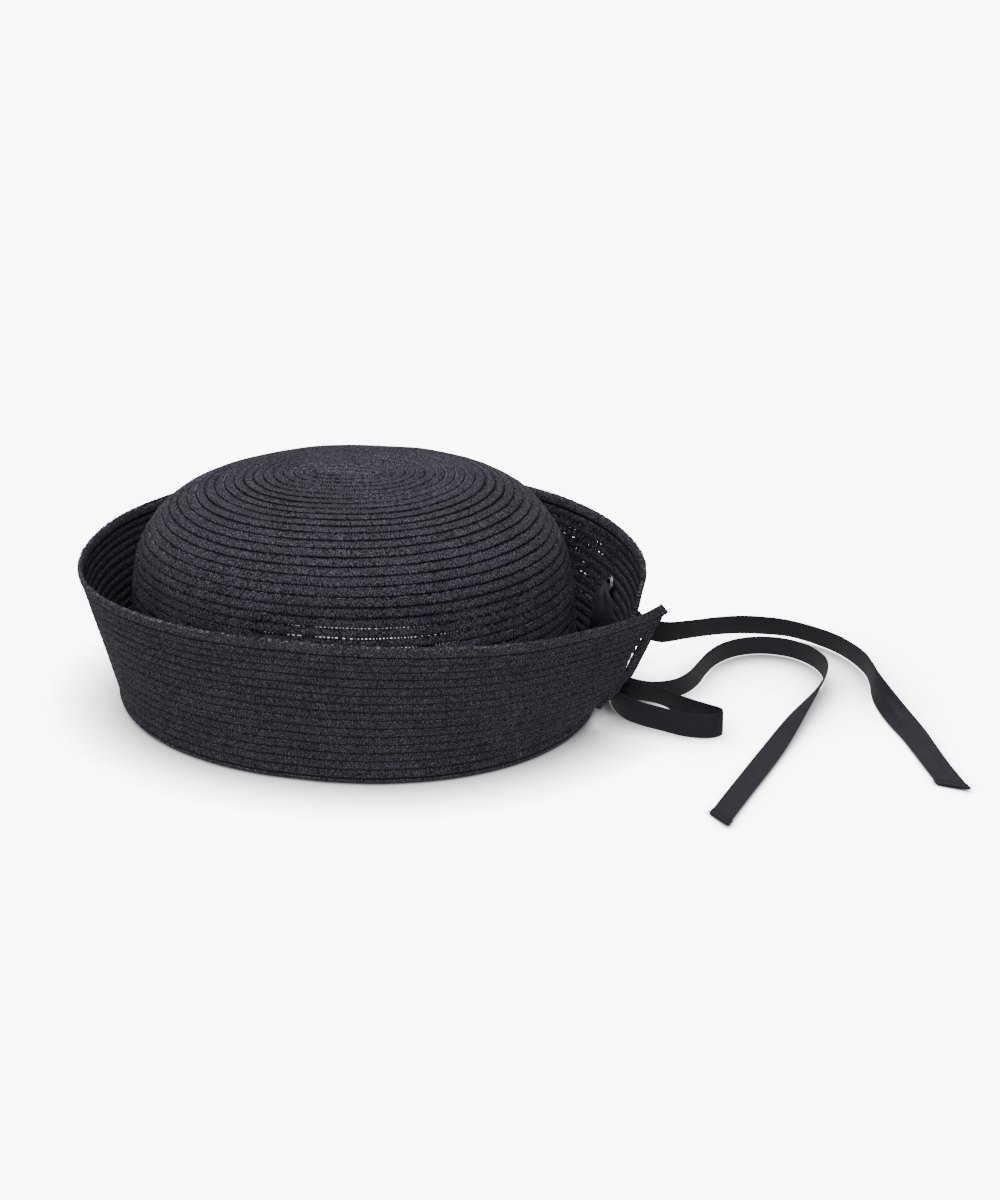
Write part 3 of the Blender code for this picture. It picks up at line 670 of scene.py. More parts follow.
def brim_skin(bearing, station):
    """Points of the brim's middle face, for bearings in degrees and distances up from the fold."""
    bearing = (np.asarray(bearing) + 180.0) % 360.0 - 180.0
    flare = flare_at(bearing)
    turned = np.clip(station, 0.0, BRIM_TURN_LENGTH)
    lean = flare * turned / BRIM_TURN_LENGTH
    straight = np.maximum(station - BRIM_TURN_LENGTH, 0.0)
    bend = BRIM_TURN_LENGTH / flare
    out, height = fold_line(np.maximum(-station, 0.0))
    out = out + bend * (1.0 - np.cos(lean)) + straight * np.sin(flare)
    height = height + bend * np.sin(lean) + straight * np.cos(flare)
    return brim_place(bearing, station, out, height)


def brim_place(bearing, station, out, height):
    """A point at a bearing, out from the head oval, moved with the nearest end of the slit."""
    turn = np.radians(bearing)
    x, y = head_oval(turn, CROWN_HALF_WIDTH)
    ahead = np.stack(head_oval(turn + 0.02, CROWN_HALF_WIDTH), -1)
    behind = np.stack(head_oval(turn - 0.02, CROWN_HALF_WIDTH), -1)
    run = ahead - behind
    run /= np.linalg.norm(run, axis=-1, keepdims=True)
    up = np.maximum(0.0, (station - SLIT_FOOT) / (BRIM_LENGTH - SLIT_FOOT))
    levels, *shifts = np.array(SLIT_EDGES).T
    near_back, near_aside, far_back, far_aside = (np.interp(up, levels, shift) for shift in shifts)
    near = bearing < 0.0
    fade = np.maximum(0.0, 1.0 - np.abs(bearing) / np.where(near, NEAR_END_REACH, FAR_END_REACH)) ** 1.5
    x = x + out * run[..., 1] + np.where(near, near_back, far_back) * fade + HAT_AXIS[0]
    y = y - out * run[..., 0] + np.where(near, near_aside, far_aside) * fade + HAT_AXIS[1]
    return np.stack([x, y, height + 0.0 * x], -1)


def brim_outward(bearing, station):
    """The brim's outward ways, at bearings in degrees and distances up from the fold."""
    return outward_of(brim_skin, bearing, station, BEARING_STEP, True)


def bearing_from_edge(side, distance, station):
    """The bearing that lies a distance along the wall from an edge of the slit."""
    bearing = side * np.linspace(0.01, 60.0, 240)
    travelled = travelled_along(brim_skin(bearing, np.full(len(bearing), station)))
    return float(np.interp(distance, travelled, bearing))


def brim_row(bearing, station, girth, step=BRAID_STEP, sink=BRIM_SINK):
    """A row of braid on the brim, through the bearings and stations given."""
    spread = np.arange(len(bearing), dtype=float)

    def points_of(place):
        return brim_skin(np.interp(place, spread, bearing), np.interp(place, spread, station))

    place = even_path(points_of, np.linspace(0.0, spread[-1], len(bearing) * 4), step)
    bearing = np.interp(place, spread, bearing)
    station = np.interp(place, spread, station)
    signed = (bearing + 180.0) % 360.0 - 180.0
    clear_of_slit = np.where(np.abs(signed) < 0.4, np.copysign(0.4, signed), signed)
    outward = brim_outward(clear_of_slit, station)
    points = brim_skin(bearing, station)
    under = np.clip(-station / 2.0, 0.0, 1.0)
    lifted = (1.0 - 0.7 * under) * hand_wobble(points, SEWING_WOBBLE, 5) - sink - 0.4 * under
    points = points + outward * lifted[:, None]
    loose = within(signed, *BACK_LOOSE_TURNS, 5.0) * within(station, *BACK_LOOSE_ROWS, 2.0)
    uneven = np.clip(0.8 + hand_wobble(points * 1.9, 1.1, 17), 0.0, 1.0)
    return {"points": points, "outward": outward,
            "girth": girth - (1.0 - BACK_LOOSE_GIRTH) * loose * uneven}


def table_at(pairs, place):
    """The value at a place, between the pairs of a table."""
    return np.interp(place, *zip(*pairs))


def row_stations():
    """Middle distances up the wall of the rows under the rim, with their share of full width."""
    top = BRIM_LENGTH - RIM_ROW
    band = [(top - BAND_ROW * (index + 0.5), BAND_GIRTH) for index in range(BAND_ROWS)]
    top -= BAND_ROWS * BAND_ROW
    return band + [(top - BRIM_ROW * (index + 0.5), 1.0) for index in range(BRIM_WALL_ROWS + FOLD_ROWS)]


def wall_and_fold_rows():
    """Every row of the brim from the one under the rim down, round the fold and up to the crown."""
    rows = []
    for station, girth in row_stations():
        start = 0.0
        end = 0.0
        if station > SLIT_FOOT:
            start = bearing_from_edge(-1.0, table_at(ROWS_SHORT, station), station)
            end = bearing_from_edge(1.0, BRIM_BINDING - 0.4, station)
        bearing = np.linspace(end, 360.0 + start, 720)
        rows.append(brim_row(bearing, np.full(len(bearing), station), girth))
    return rows


def rim_row():
    """The last row: up the far edge of the slit, round its corner and along the rim to the near tip."""
    middle = 0.5 * BRIM_BINDING
    level = BRIM_LENGTH - 0.5 * RIM_ROW
    arc = np.linspace(0.0, 0.5 * math.pi, 9)[1:]
    wall = np.linspace(SLIT_FOOT, level - RIM_CORNER, 24)
    station = np.concatenate([wall, level - RIM_CORNER + RIM_CORNER * np.sin(arc)])
    from_edge = np.concatenate([np.full(len(wall), middle), middle + RIM_CORNER * (1.0 - np.cos(arc))])
    bearing = [bearing_from_edge(1.0, distance, up) for distance, up in zip(from_edge, station)]
    round_the_rim = np.linspace(bearing[-1] + 1.0, 360.0 + bearing_from_edge(-1.0, 0.2, level), 700)
    bearing = np.concatenate([bearing, round_the_rim])
    station = np.concatenate([station, np.full(len(round_the_rim), level)])
    row = brim_row(bearing, station, 1.0, sink=0.0, step=2.0)
    turning = np.linspace(0.0, 1.0, RIM_TIP_POINTS)[:, None]
    facing = row["outward"][-RIM_TIP_POINTS:] * (1.0 - turning) + np.array(RIM_TIP_FACES) * turning
    row["outward"][-RIM_TIP_POINTS:] = unit(facing)
    tip = past_near_edge(np.array([level]), [RIM_TIP[0]]) + (0.0, 0.0, RIM_TIP[1])
    row["points"] = np.concatenate([row["points"], tip])
    row["outward"] = np.concatenate([row["outward"], row["outward"][-1:]])
    row["girth"] = np.concatenate([row["girth"], [1.0]])
    return row


def past_near_edge(station, distance):
    """Points a distance past the brim's near edge, straight on from its wall."""
    edge = brim_skin(np.full(len(station), -0.01), station)
    inside = np.array([bearing_from_edge(-1.0, BRIM_BINDING, up) for up in station])
    past = unit(edge - brim_skin(inside, station))
    return edge + past * np.asarray(distance)[:, None]


def near_binding():
    """The strip that binds the near edge of the slit, from under the rim's row down to the foot."""
    station = np.linspace(BRIM_LENGTH - RIM_ROW + 0.8, SLIT_FOOT - 0.5, 42)
    points = past_near_edge(station, table_at(BINDING_PAST, station))
    points[:, 0] += table_at(BINDING_FOOT_BACK, station)
    outward = unit(0.35 * brim_outward(np.full(len(station), -0.3), station) + np.array(BINDING_FACES))
    points = points + outward * (0.2 + hand_wobble(points, 0.3, 6)[:, None])
    return {"points": points, "outward": outward, "girth": table_at(BINDING_GIRTH, station)}


def back_seam_stitches():
    """The long strands between the points of light in the seams of the brim's far side."""
    rng = np.random.default_rng(33)
    bearing = []
    station = []
    stations = [row[0] for row in row_stations()]
    for upper, lower in zip(stations, stations[1:]):
        if BACK_LOOSE_ROWS[0] - 6.0 < lower and upper < BACK_LOOSE_ROWS[1] + 6.0:
            turn = np.arange(BACK_LOOSE_TURNS[0] - 8.0, BACK_LOOSE_TURNS[1] + 8.0, BACK_STITCH_STEP)
            bearing.append(turn + rng.uniform(-0.5, 0.5, len(turn)))
            station.append(np.full(len(turn), 0.5 * (upper + lower)))
    bearing = np.concatenate(bearing)
    station = np.concatenate(station)
    made = bridging_stitches(brim_skin, brim_outward(bearing, station), bearing, station, BACK_STITCH)
    made["size"][:, 1] *= rng.uniform(0.92, 1.12, len(bearing))
    return made


def rim_fibres():
    """Short paper fibres and loops that stand up along the rim's edge."""
    rng = np.random.default_rng(61)
    draw = partial(rng.uniform, size=RIM_FIBRES)
    bearing = np.sort(draw(1.5, 358.5))
    station = np.full(RIM_FIBRES, BRIM_LENGTH + 0.05)
    outward = brim_outward(bearing, station)
    up = unit(brim_skin(bearing, station) - brim_skin(bearing, station - 1.0))
    along = np.cross(outward, up)
    points = brim_skin(bearing, station) + outward * draw(-0.8, 1.0)[:, None]
    run = unit(along + up * draw(-0.5, 0.7)[:, None] + outward * draw(-0.5, 0.5)[:, None])
    size = np.stack([draw(0.8, 2.0), draw(0.14, 0.28), draw(0.2, 0.4)], -1) * MM
    return {"points": points, "outward": up, "run": run, "size": size}


brim_black = paper_braid_finish("black_paper_brim", BRAID_SHADE, BRIM_CONTRAST, BRIM_GROOVE_SHADE_ABOVE, BRIM_RELIEF)
rim_black = paper_braid_finish("black_paper_rim", RIM_LIT_SHADE, BRIM_CONTRAST, RIM_GROOVE_SHADE_ABOVE, BRIM_RELIEF)
rim_fibre_glint = paper_braid_finish("paper_rim_edge", RIM_FIBRE_GLINT_SHADE, BRIM_CONTRAST, RIM_GROOVE_SHADE_ABOVE, BRIM_RELIEF)
brim_rows = wall_and_fold_rows()
brim = braid_piece("brim_braid", brim_rows, BRAID_SECTION, brim_black)
rim = braid_piece("rim_braid", [rim_row()], RIM_SECTION, rim_black)
binding = braid_piece("slit_binding", [near_binding()], BRAID_SECTION, brim_black)
brim_stitches = strand_piece("brim_seam_stitches", back_seam_stitches(), STITCH, brim_black)
brim_loops = strand_piece(
    "brim_edge_loops", edge_loops(brim_rows, 52, BRIM_LOOP_UP, BRIM_LOOP), LOOP, loop_glint)
# The rim's fibres take the lighter copy of the plait: painted highlights.
rim_fuzz = strand_piece("rim_fibres", rim_fibres(), LOOP, rim_fibre_glint)
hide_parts("brim")
for piece in (brim, rim, binding, brim_stitches, brim_loops, rim_fuzz):
    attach(piece, "root")


# Eyelets. Two black enamelled metal rings are set through the far end of the brim, one above the
# other. Each has a domed flange on both faces and a short barrel between them.
EYELET_OUTWARD = Vector((0.8268, 0.4727, -0.3048)).normalized()
EYELET_SIDES = 40
EYELET_MIDDLES = {"upper": (96.3, 45.2, 45.5), "lower": (90.0, 41.6, 23.1)}
CREST_LEVEL = 2.0

# Half of the ring's cut face, from the middle of the bore out over the dome: radius, height off the wall.
EYELET_DOME = (
    (2.60, 0.0), (2.62, 2.1), (2.80, 2.65), (3.10, 2.85), (3.40, 2.70), (3.65, 2.35), (3.90, 2.30),
    (4.20, 2.55), (4.50, 2.74), (4.80, 2.40), (4.98, 1.95), (4.90, 1.60), (3.30, 1.60), (3.20, 0.0))


def enamel_finish():
    """Gloss black enamel, with wear to bright metal along the dome's crests, painted bright there also as
    the ring's highlight arcs.
    """
    material, tree, shader, place = open_material("black_enamel")
    wear = noise_node(tree, place, 700.0, 4.0, 0.6)
    level = math_node(tree, "MULTIPLY_ADD", wear, 0.5, mark_node(tree, "level"))
    # Part wear and part painted highlight: bare metal painted bright on the crests gives the ring's bright
    # arcs.
    crest_wear_and_highlight = ramp_node(tree, math_node(tree, "SUBTRACT", level, CREST_LEVEL), (
        (0.70, (0.05, 0.05, 0.055)), (0.82, (0.22, 0.21, 0.21)), (0.96, (0.60, 0.58, 0.57))))
    set_inputs(tree, shader, {
        "Base Color": crest_wear_and_highlight,
        "Roughness": math_node(tree, "MULTIPLY_ADD", wear, 0.2, 0.28),
        "Metallic": 0.85,
        "Coat Weight": 0.4,
        "Coat Roughness": 0.12,
        "Normal": bump_node(tree, wear, 0.15, 0.05)})
    return material


def lathed_ring(name, middle, outward, half_profile, material):
    """A ring turned round an axis, the same on both faces."""
    profile = list(half_profile) + [(radius, -level) for radius, level in reversed(half_profile[1:-1])]
    bm = bmesh.new()
    verts = [bm.verts.new((radius, 0.0, level)) for radius, level in profile]
    edges = [bm.edges.new((verts[i], verts[(i + 1) % len(verts)])) for i in range(len(verts))]
    bmesh.ops.spin(bm, geom=verts + edges, cent=(0.0, 0.0, 0.0), axis=(0.0, 0.0, 1.0),
                   angle=2.0 * math.pi, steps=EYELET_SIDES, use_merge=True)
    bmesh.ops.remove_doubles(bm, verts=bm.verts, dist=0.001)
    bmesh.ops.recalc_face_normals(bm, faces=bm.faces)
    levels = np.array([abs(vert.co.z) for vert in bm.verts]) * MM
    turn = Vector((0.0, 0.0, 1.0)).rotation_difference(outward).to_matrix()
    bmesh.ops.rotate(bm, cent=(0.0, 0.0, 0.0), matrix=turn, verts=bm.verts)
    bmesh.ops.translate(bm, vec=Vector(middle), verts=bm.verts)
    bmesh.ops.scale(bm, vec=(MM, MM, MM), verts=bm.verts)
    mesh = bpy.data.meshes.new(name)
    bm.to_mesh(mesh)
    bm.free()
    keep_mark(mesh, "level", levels)
    mesh.shade_smooth()
    mesh.set_sharp_from_angle(angle=math.radians(50))
    mesh.materials.append(material)
    return in_scene(name, mesh)


enamel = enamel_finish()
for name, middle in EYELET_MIDDLES.items():
    ring = lathed_ring("eyelet_ring_" + name, middle, EYELET_OUTWARD, EYELET_DOME, enamel)
    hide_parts("eyelet_" + name)
    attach(ring, "root")


# Ribbon. One length of soft black corded ribbon is laced through the eyelets, so a short run shows
# inside the brim. Its two free ends lie on the surface, cut aslant, turned under and hemmed.
RIBBON_THICK = 0.5
RIBBON_WIDTH = 11.6
RIBBON_CUT_SLANT = 40.0
RIBBON_SAMPLES = 7
INNER_SAMPLES = 8
RIBBON_RIB = 0.75
RIBBON_EDGE = 0.7
RIBBON_SHADE = (0.0215, 0.0195, 0.0295)
RIBBON_START = (90.02, 41.57, 0.0)
BAND_CORNERS = 13
HEM_STITCH = (0.9, 0.32, 0.3)
FRAYED_THREADS = 5

# The hem at the end of each band: how far past the middle line's end, how thick, and its share of the width.
HEM_ROWS = ((-0.2, RIBBON_THICK, 1.0), (0.2, 1.3, 1.05), (3.0, 1.3, 1.07), (4.7, 1.3, 1.05),
            (5.0, RIBBON_THICK, 1.03))

# Middle lines of the free ends, measured from under the lower eyelet: x, y, z, the band's width, and its
# lean. Lean is how far the upper edge tips to the right of the way the band runs: 0 is on edge, 90 flat.
UPPER_END_ROUTE = (
    (7.8, 4.5, 44.8, 4.2, 70),
    (9.8, 5.6, 44.0, 4.2, 75),
    (11.8, 6.7, 41.6, 5.6, 75),
    (13.4, 7.5, 36.0, 8.0, 60),
    (16.5, 8.1, 29.4, 10.4, 35),
    (21.9, 8.3, 24.0, 11.6, 12),
    (29.4, 10.6, 21.5, 11.6, 14),
    (38.9, 21.6, 19.2, 11.6, 22),
    (48.2, 36.1, 15.7, 11.6, 24),
    (57.9, 48.6, 12.2, 11.6, 24),
    (68.4, 57.1, 9.2, 11.6, 24),
    (79.9, 61.1, 7.2, 11.6, 24),
    (92.9, 58.1, 6.1, 11.6, 20),
    (106.4, 49.1, 6.1, 11.6, 14),
    (118.9, 34.1, 6.2, 11.6, 5),
    (124.5, 21.6, 6.2, 11.6, -4),
    (128.1, 10.6, 6.0, 11.6, -16),
    (133.9, -1.9, 5.2, 11.2, -36),
    (142.0, -15.9, 3.8, 11.2, -56),
    (151.5, -30.9, 2.4, 11.2, -72),
    (158.9, -44.9, 1.6, 11.2, -81),
    (165.9, -58.9, 1.3, 11.2, -85),
    (173.3, -73.1, 1.3, 11.4, -86),
)

LOWER_END_ROUTE = (
    (1.7, 0.9, 22.5, 4.2, 70),
    (3.7, 2.1, 21.8, 4.2, 70),
    (6.5, 2.3, 18.6, 6.5, 45),
    (9.1, -2.5, 13.0, 9.5, 15),
    (10.3, -10.3, 9.0, 11.6, 0),
    (10.3, -18.9, 7.0, 11.6, 0),
    (12.3, -26.4, 6.5, 11.6, 0),
    (16.1, -34.4, 6.2, 11.6, 0),
    (22.3, -41.9, 6.1, 11.6, 0),
    (30.9, -46.8, 6.1, 11.6, 0),
    (40.9, -50.2, 6.1, 11.6, 0),
    (50.9, -53.4, 6.1, 11.6, 0),
    (59.7, -53.5, 6.1, 11.6, 0),
    (65.2, -51.3, 6.1, 11.6, 0),
    (67.9, -47.3, 6.1, 11.6, 0),
    (65.9, -44.0, 6.1, 11.6, 0),
    (59.9, -41.5, 6.3, 11.6, -4),
    (47.9, -36.3, 6.8, 11.6, -12),
    (36.9, -32.6, 9.0, 11.6, -22),
    (27.4, -31.9, 10.0, 11.6, -22),
    (20.4, -31.1, 9.4, 11.6, -12),
    (16.7, -27.3, 7.6, 11.6, 0),
    (17.5, -22.1, 6.6, 11.6, 12),
    (22.7, -19.3, 5.8, 11.6, 24),
    (30.9, -18.9, 5.6, 11.6, 27),
    (39.1, -15.7, 5.8, 11.6, 20),
    (44.3, -8.9, 6.1, 11.6, 8),
    (47.2, 2.1, 6.2, 11.6, 0),
    (48.9, 14.1, 6.2, 11.6, 4),
    (52.3, 26.1, 6.1, 11.6, 12),
    (59.4, 36.1, 6.0, 11.6, 20),
    (69.9, 41.7, 5.9, 11.6, 22),
    (81.9, 41.5, 5.9, 11.6, 20),
    (92.2, 36.1, 6.1, 11.6, 14),
    (99.5, 28.1, 6.2, 11.6, 6),
    (103.5, 19.6, 6.2, 11.6, -6),
    (104.3, 11.1, 6.0, 11.6, -19),
    (103.1, 2.1, 5.5, 11.6, -34),
    (101.1, -8.4, 4.8, 11.6, -46),
    (98.5, -23.4, 3.8, 11.6, -59),
    (96.1, -39.9, 2.6, 11.4, -71),
    (93.9, -54.9, 1.7, 11.4, -80),
    (91.5, -70.9, 1.3, 11.4, -85),
    (89.0, -87.9, 1.3, 11.4, -86),
    (85.8, -108.9, 1.3, 11.4, -86),
    (83.1, -127.9, 1.3, 11.4, -86),
)

# The short run inside the brim: x, y, z, the band's width, and the bearing that its width faces.
INNER_RUN_ROUTE = (
    (4.6, 2.6, 46.0, 4.2, 120),
    (3.0, 1.3, 45.6, 5.6, 130),
    (2.9, -1.6, 42.8, 9.6, 146),
    (3.9, -4.4, 38.6, 11.2, 153),
    (3.6, -6.0, 34.2, 11.4, 154),
    (1.9, -5.6, 30.0, 10.8, 152),
    (-2.0, -2.8, 26.2, 6.4, 130),
    (-1.7, -1.0, 23.7, 4.2, 120),
)


def ribbon_finish():
    """Black corded ribbon: fine ribs across it, woven edges and a soft sheen."""
    material, tree, shader, place = open_material("black_corded_ribbon")
    maths = partial(math_node, tree)
    fine = noise_node(tree, place, 1400.0, 3.0, 0.6)
    drift = maths("MULTIPLY", noise_node(tree, place, 240.0, 2.0), 0.8)
    rib = wave_node(tree, maths("ADD", mark_node(tree, "along"), drift), RIBBON_RIB)
    cloudy = noise_node(tree, place, 90.0, 3.0)
    from_middle = maths("ABSOLUTE", mark_node(tree, "across"))
    edge = maths("GREATER_THAN", from_middle, 0.5 * RIBBON_WIDTH - RIBBON_EDGE)
    tone = blend_of(tree, (rib, 0.22), (fine, 0.42), (cloudy, 0.32), (edge, 0.10))
    height = blend_of(tree, (rib, 1.0), (fine, 0.35), (edge, 0.5))
    set_inputs(tree, shader, {
        "Base Color": ramp_node(tree, tone, shades(
            RIBBON_SHADE, (0.20, 0.55), (0.48, 0.95), (0.66, 1.35), (0.85, 2.2))),
        "Roughness": maths("MULTIPLY_ADD", fine, -0.25, 0.72),
        "Specular IOR Level": 0.35,
        "Sheen Weight": 0.05,
        "Sheen Roughness": 0.45,
        "Normal": bump_node(tree, height, 0.6, 0.16)})
    return material


def smooth_route(route, samples):
    """A route's places in the hat, widths and turns, with smooth rows between its own."""
    table = np.array(route, dtype=float)
    last = len(table) - 1
    share = np.linspace(0.0, last, last * samples + 1)
    index = np.minimum(share.astype(int), last - 1)
    near = [table[np.clip(index + offset, 0, last)] for offset in (-1, 0, 1, 2)]
    rows = smooth_value(*near, (share - index)[:, None])
    return rows[:, :3] + RIBBON_START, rows[:, 3], np.radians(rows[:, 4])


def pleated_section(width):
    """Points across the band, from edge to edge, and how far each lifts where the band is drawn in."""
    across = np.linspace(-1.0, 1.0, BAND_CORNERS)
    drawn = max(0.0, 1.0 - (width / RIBBON_WIDTH) ** 2)
    lift = 0.5 * math.sqrt(drawn) * 1.35 * np.cos(across * 2.0 * math.pi)
    return across, lift * (1.0 - 0.25 * np.abs(across))


def band_piece(name, points, wide, thick, width, thickness, material):
    """A closed thin band through the points, with its place along and across kept on it."""
    verts = []
    across_mark = []
    for index, point in enumerate(points):
        across, lift = pleated_section(width[index])
        for side in (1, -1):
            for place, rise in zip(across[::side], lift[::side]):
                soft = 1.0 - 0.6 * abs(place) ** 8
                off = rise + side * 0.5 * thickness[index] * soft
                verts.append(point + wide[index] * place * 0.5 + thick[index] * off)
                across_mark.append(place * 0.5 * RIBBON_WIDTH * MM)
    count = 2 * BAND_CORNERS
    faces = []
    for start in range(0, (len(points) - 1) * count, count):
        ring = [start + side for side in range(count)]
        for near, following in zip(ring, ring[1:] + ring[:1]):
            faces.append((near, following, following + count, near + count))
    faces.append(tuple(reversed(range(count))))
    faces.append(tuple(range((len(points) - 1) * count, len(points) * count)))
    mesh = bpy.data.meshes.new(name)
    mesh.from_pydata((np.array(verts) * MM).tolist(), [], faces)
    keep_mark(mesh, "along", np.repeat(travelled_along(points) * MM, count))
    keep_mark(mesh, "across", np.array(across_mark))
    bm = bmesh.new()
    bm.from_mesh(mesh)
    bmesh.ops.recalc_face_normals(bm, faces=bm.faces)
    bm.to_mesh(mesh)
    bm.free()
    mesh.shade_smooth()
    mesh.set_sharp_from_angle(angle=math.radians(60))
    mesh.materials.append(material)
    return in_scene(name, mesh)


def free_end(name, route, material):
    """A free end of the ribbon with its hem: the band, its middle line and where its stitches go."""
    points, width, lean = smooth_route(route, RIBBON_SAMPLES)
    run = unit(np.gradient(points, axis=0))
    right = unit(np.cross(run, (0.0, 0.0, 1.0)))
    upward = unit(np.cross(right, run))
    wide = upward * np.cos(lean)[:, None] + right * np.sin(lean)[:, None]
    thick = unit(np.cross(run, wide))
    slant = math.tan(math.radians(RIBBON_CUT_SLANT))
    full = width[-1]
    past, hem_thick, spread = np.array(HEM_ROWS).T
    path = np.concatenate([points[:-1], points[-1] + run[-1] * past[:, None]])
    cut = wide[-1] * full * spread[:, None] + run[-1] * full * slant
    band = band_piece(
        name, path, np.concatenate([wide[:-1] * width[:-1, None], cut]),
        np.concatenate([thick[:-1], np.tile(thick[-1], (len(past), 1))]),
        np.concatenate([width[:-1], np.full(len(past), RIBBON_WIDTH)]),
        np.concatenate([np.full(len(points) - 1, RIBBON_THICK), hem_thick]), material)
    seam = {"end": points[-1], "run": run[-1], "wide": wide[-1], "thick": thick[-1], "slant": slant,
            "full": full}
    return band, path, seam


def hem_threads(seam, seed):
    """A hem's stitches, and the short threads that fray from its cut corners."""
    rng = np.random.default_rng(seed)
    up = seam["thick"] if seam["thick"][2] > 0 else -seam["thick"]
    cut_way = seam["wide"] + seam["run"] * seam["slant"]
    points = [seam["end"] + cut_way * seam["full"] * place + seam["run"] * 1.2 + up * 0.66
              for place in np.arange(-0.42, 0.43, 0.105)]
    run = [cut_way] * len(points)
    size = [HEM_STITCH] * len(points)
    for corner in (-0.5, 0.5):
        for thread in range(FRAYED_THREADS):
            way = (seam["wide"] * math.copysign(1.0, corner) * rng.uniform(0.5, 1.0)
                   + seam["run"] * rng.uniform(-0.7, 0.7))
            start = seam["end"] + cut_way * seam["full"] * corner * 1.03
            start = start + seam["run"] * rng.uniform(0.3, 4.6) + way * 0.6
            points.append(start + up * rng.uniform(-0.1, 0.4))
            run.append(way)
            size.append((rng.uniform(1.2, 2.4), 0.16, 0.16))
    return {"points": np.array(points), "outward": np.tile(up, (len(points), 1)),
            "run": unit(np.array(run)), "size": np.array(size) * MM}


# Each free end's route, its length in metres, the point where it leaves its eyelet, and a seed.
FREE_ENDS = {
    "upper": (UPPER_END_ROUTE, 0.285, (98.4, 46.4, 44.8), 41),
    "lower": (LOWER_END_ROUTE, 0.463, (92.2, 42.8, 22.4), 42),
}

ribbon_black = ribbon_finish()
for name, (route, length, leaves, seed) in FREE_ENDS.items():
    band, path, seam = free_end("ribbon_" + name, route, ribbon_black)
    threads = strand_piece("hem_threads_" + name, hem_threads(seam, seed), STITCH, ribbon_black)
    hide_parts("ribbon_" + name + "_end")
    for piece in (band, threads):
        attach(piece, "root")

inner_points, inner_width, facing = smooth_route(INNER_RUN_ROUTE, INNER_SAMPLES)
inner_wide = np.stack([np.cos(facing), np.sin(facing), 0.0 * facing], -1)
inner_thick = unit(np.cross(unit(np.gradient(inner_points, axis=0)), inner_wide))
inner = band_piece("ribbon_inside", inner_points, inner_wide * inner_width[:, None], inner_thick,
                   inner_width, np.full(len(inner_points), RIBBON_THICK), ribbon_black)
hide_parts("ribbon_inner_run")
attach(inner, "root")


# Surface, light and camera. A white sheet under an even white studio, with a broad soft light overhead
# and a weaker one in front. The sheet is shaded round the hat, and more inside its head opening.
FLOOR_REACH = 6.0
FLOOR_SHADE = (0.2, 0.2, 0.2, 1.0)
WHITE = (1.0, 1.0, 1.0, 1.0)
SHEET_GLOW_SEEN = 9.0
SHEET_GLOW = 0.34
STUDIO_GLOW = 0.21
SHEET_SHADE_REACH = 0.037
SHEET_SHADE_DEPTH = 2.7
SHEET_DARK_INSIDE = 0.72
SHEET_DARK_HALF_LENGTH = 0.101
SHEET_DARK_HALF_WIDTH = 0.085

# Each lamp's place, its size across and its power.
LAMPS = {
    "overhead": ((-0.05, 0.05, 1.5), 1.5, 19.0),
    "front": ((0.3, -1.9, 1.1), 1.0, 14.5),
}
LAMPS_AIM = Vector((0.0, 0.0, 0.05))
LOOK_AT = Vector((0.0510, 0.0123, 0.0472))
CAMERA_AWAY = 1.6 * Vector((0.2206, -0.8925, 0.3936))
CAMERA_LENS = 126.96
CAMERA_SENSOR = 36.0


def seen_or_cast(tree, seen, cast):
    """Strength of a white surface: what the camera sees, and what it casts on the hat."""
    ray = tree.nodes.new("ShaderNodeLightPath").outputs["Is Camera Ray"]
    other = math_node(tree, "MULTIPLY", math_node(tree, "SUBTRACT", 1.0, ray), cast)
    return math_node(tree, "ADD", math_node(tree, "MULTIPLY", ray, seen), other)


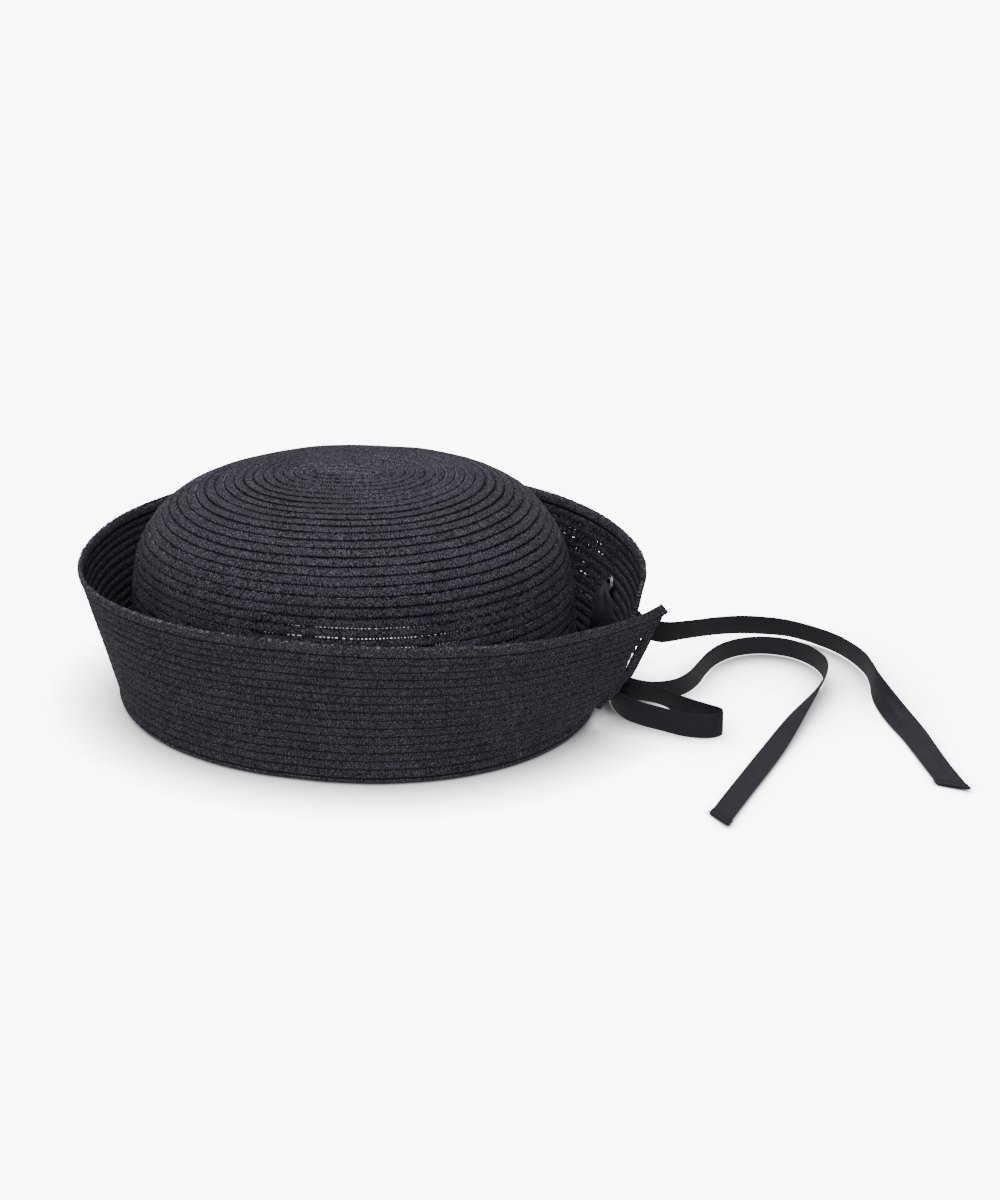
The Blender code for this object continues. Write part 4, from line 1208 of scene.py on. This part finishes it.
def inside_hat(tree, place):
    """One on the sheet inside the head opening, and nothing round it."""
    shares = []
    for axis, middle, half in (("X", HAT_AXIS[0], SHEET_DARK_HALF_LENGTH),
                               ("Y", HAT_AXIS[1], SHEET_DARK_HALF_WIDTH)):
        off = math_node(tree, "SUBTRACT", part_of(tree, place, axis), middle * MM)
        share = math_node(tree, "DIVIDE", off, half)
        shares.append((share, share))
    return math_node(tree, "LESS_THAN", blend_of(tree, *shares), 1.0)


floor_mesh = bpy.data.meshes.new("sheet")
floor_mesh.from_pydata([(x * FLOOR_REACH, y * FLOOR_REACH, 0.0)
                        for x, y in ((-1, -1), (1, -1), (1, 1), (-1, 1))], [], [(0, 1, 2, 3)])
floor = in_scene("sheet", floor_mesh)
floor_finish, tree, shader, place = open_material("white_sheet")
hollow = make_node(tree, "ShaderNodeAmbientOcclusion", {"Distance": SHEET_SHADE_REACH})
open_sky = math_node(tree, "POWER", hollow["AO"], SHEET_SHADE_DEPTH)
darker = math_node(tree, "MULTIPLY", inside_hat(tree, place), SHEET_DARK_INSIDE)
open_sky = math_node(tree, "MULTIPLY", open_sky, math_node(tree, "SUBTRACT", 1.0, darker))
seen = math_node(tree, "MULTIPLY", open_sky, SHEET_GLOW_SEEN)
set_inputs(tree, shader, {
    "Base Color": FLOOR_SHADE,
    "Roughness": 0.9,
    "Specular IOR Level": 0.0,
    "Emission Color": WHITE,
    "Emission Strength": seen_or_cast(tree, seen, SHEET_GLOW)})
floor_mesh.materials.append(floor_finish)

world = bpy.data.worlds.new("studio")
bpy.context.scene.world = world
world.use_nodes = True
set_inputs(world.node_tree, world.node_tree.nodes["Background"], {
    "Color": WHITE, "Strength": seen_or_cast(world.node_tree, SHEET_GLOW_SEEN, STUDIO_GLOW)})

for name, (place, size, power) in LAMPS.items():
    light = bpy.data.lights.new(name, "AREA")
    light.size = size
    light.energy = power
    lamp = in_scene(name, light)
    lamp.location = place
    lamp.rotation_euler = (LAMPS_AIM - Vector(place)).to_track_quat("-Z", "Y").to_euler()

camera_data = bpy.data.cameras.new("camera")
camera_data.sensor_fit = "HORIZONTAL"
camera_data.sensor_width = CAMERA_SENSOR
camera_data.lens = CAMERA_LENS
camera = in_scene("camera", camera_data)
camera.location = LOOK_AT + CAMERA_AWAY
camera.rotation_euler = (-CAMERA_AWAY).to_track_quat("-Z", "Y").to_euler()
bpy.context.scene.camera = camera
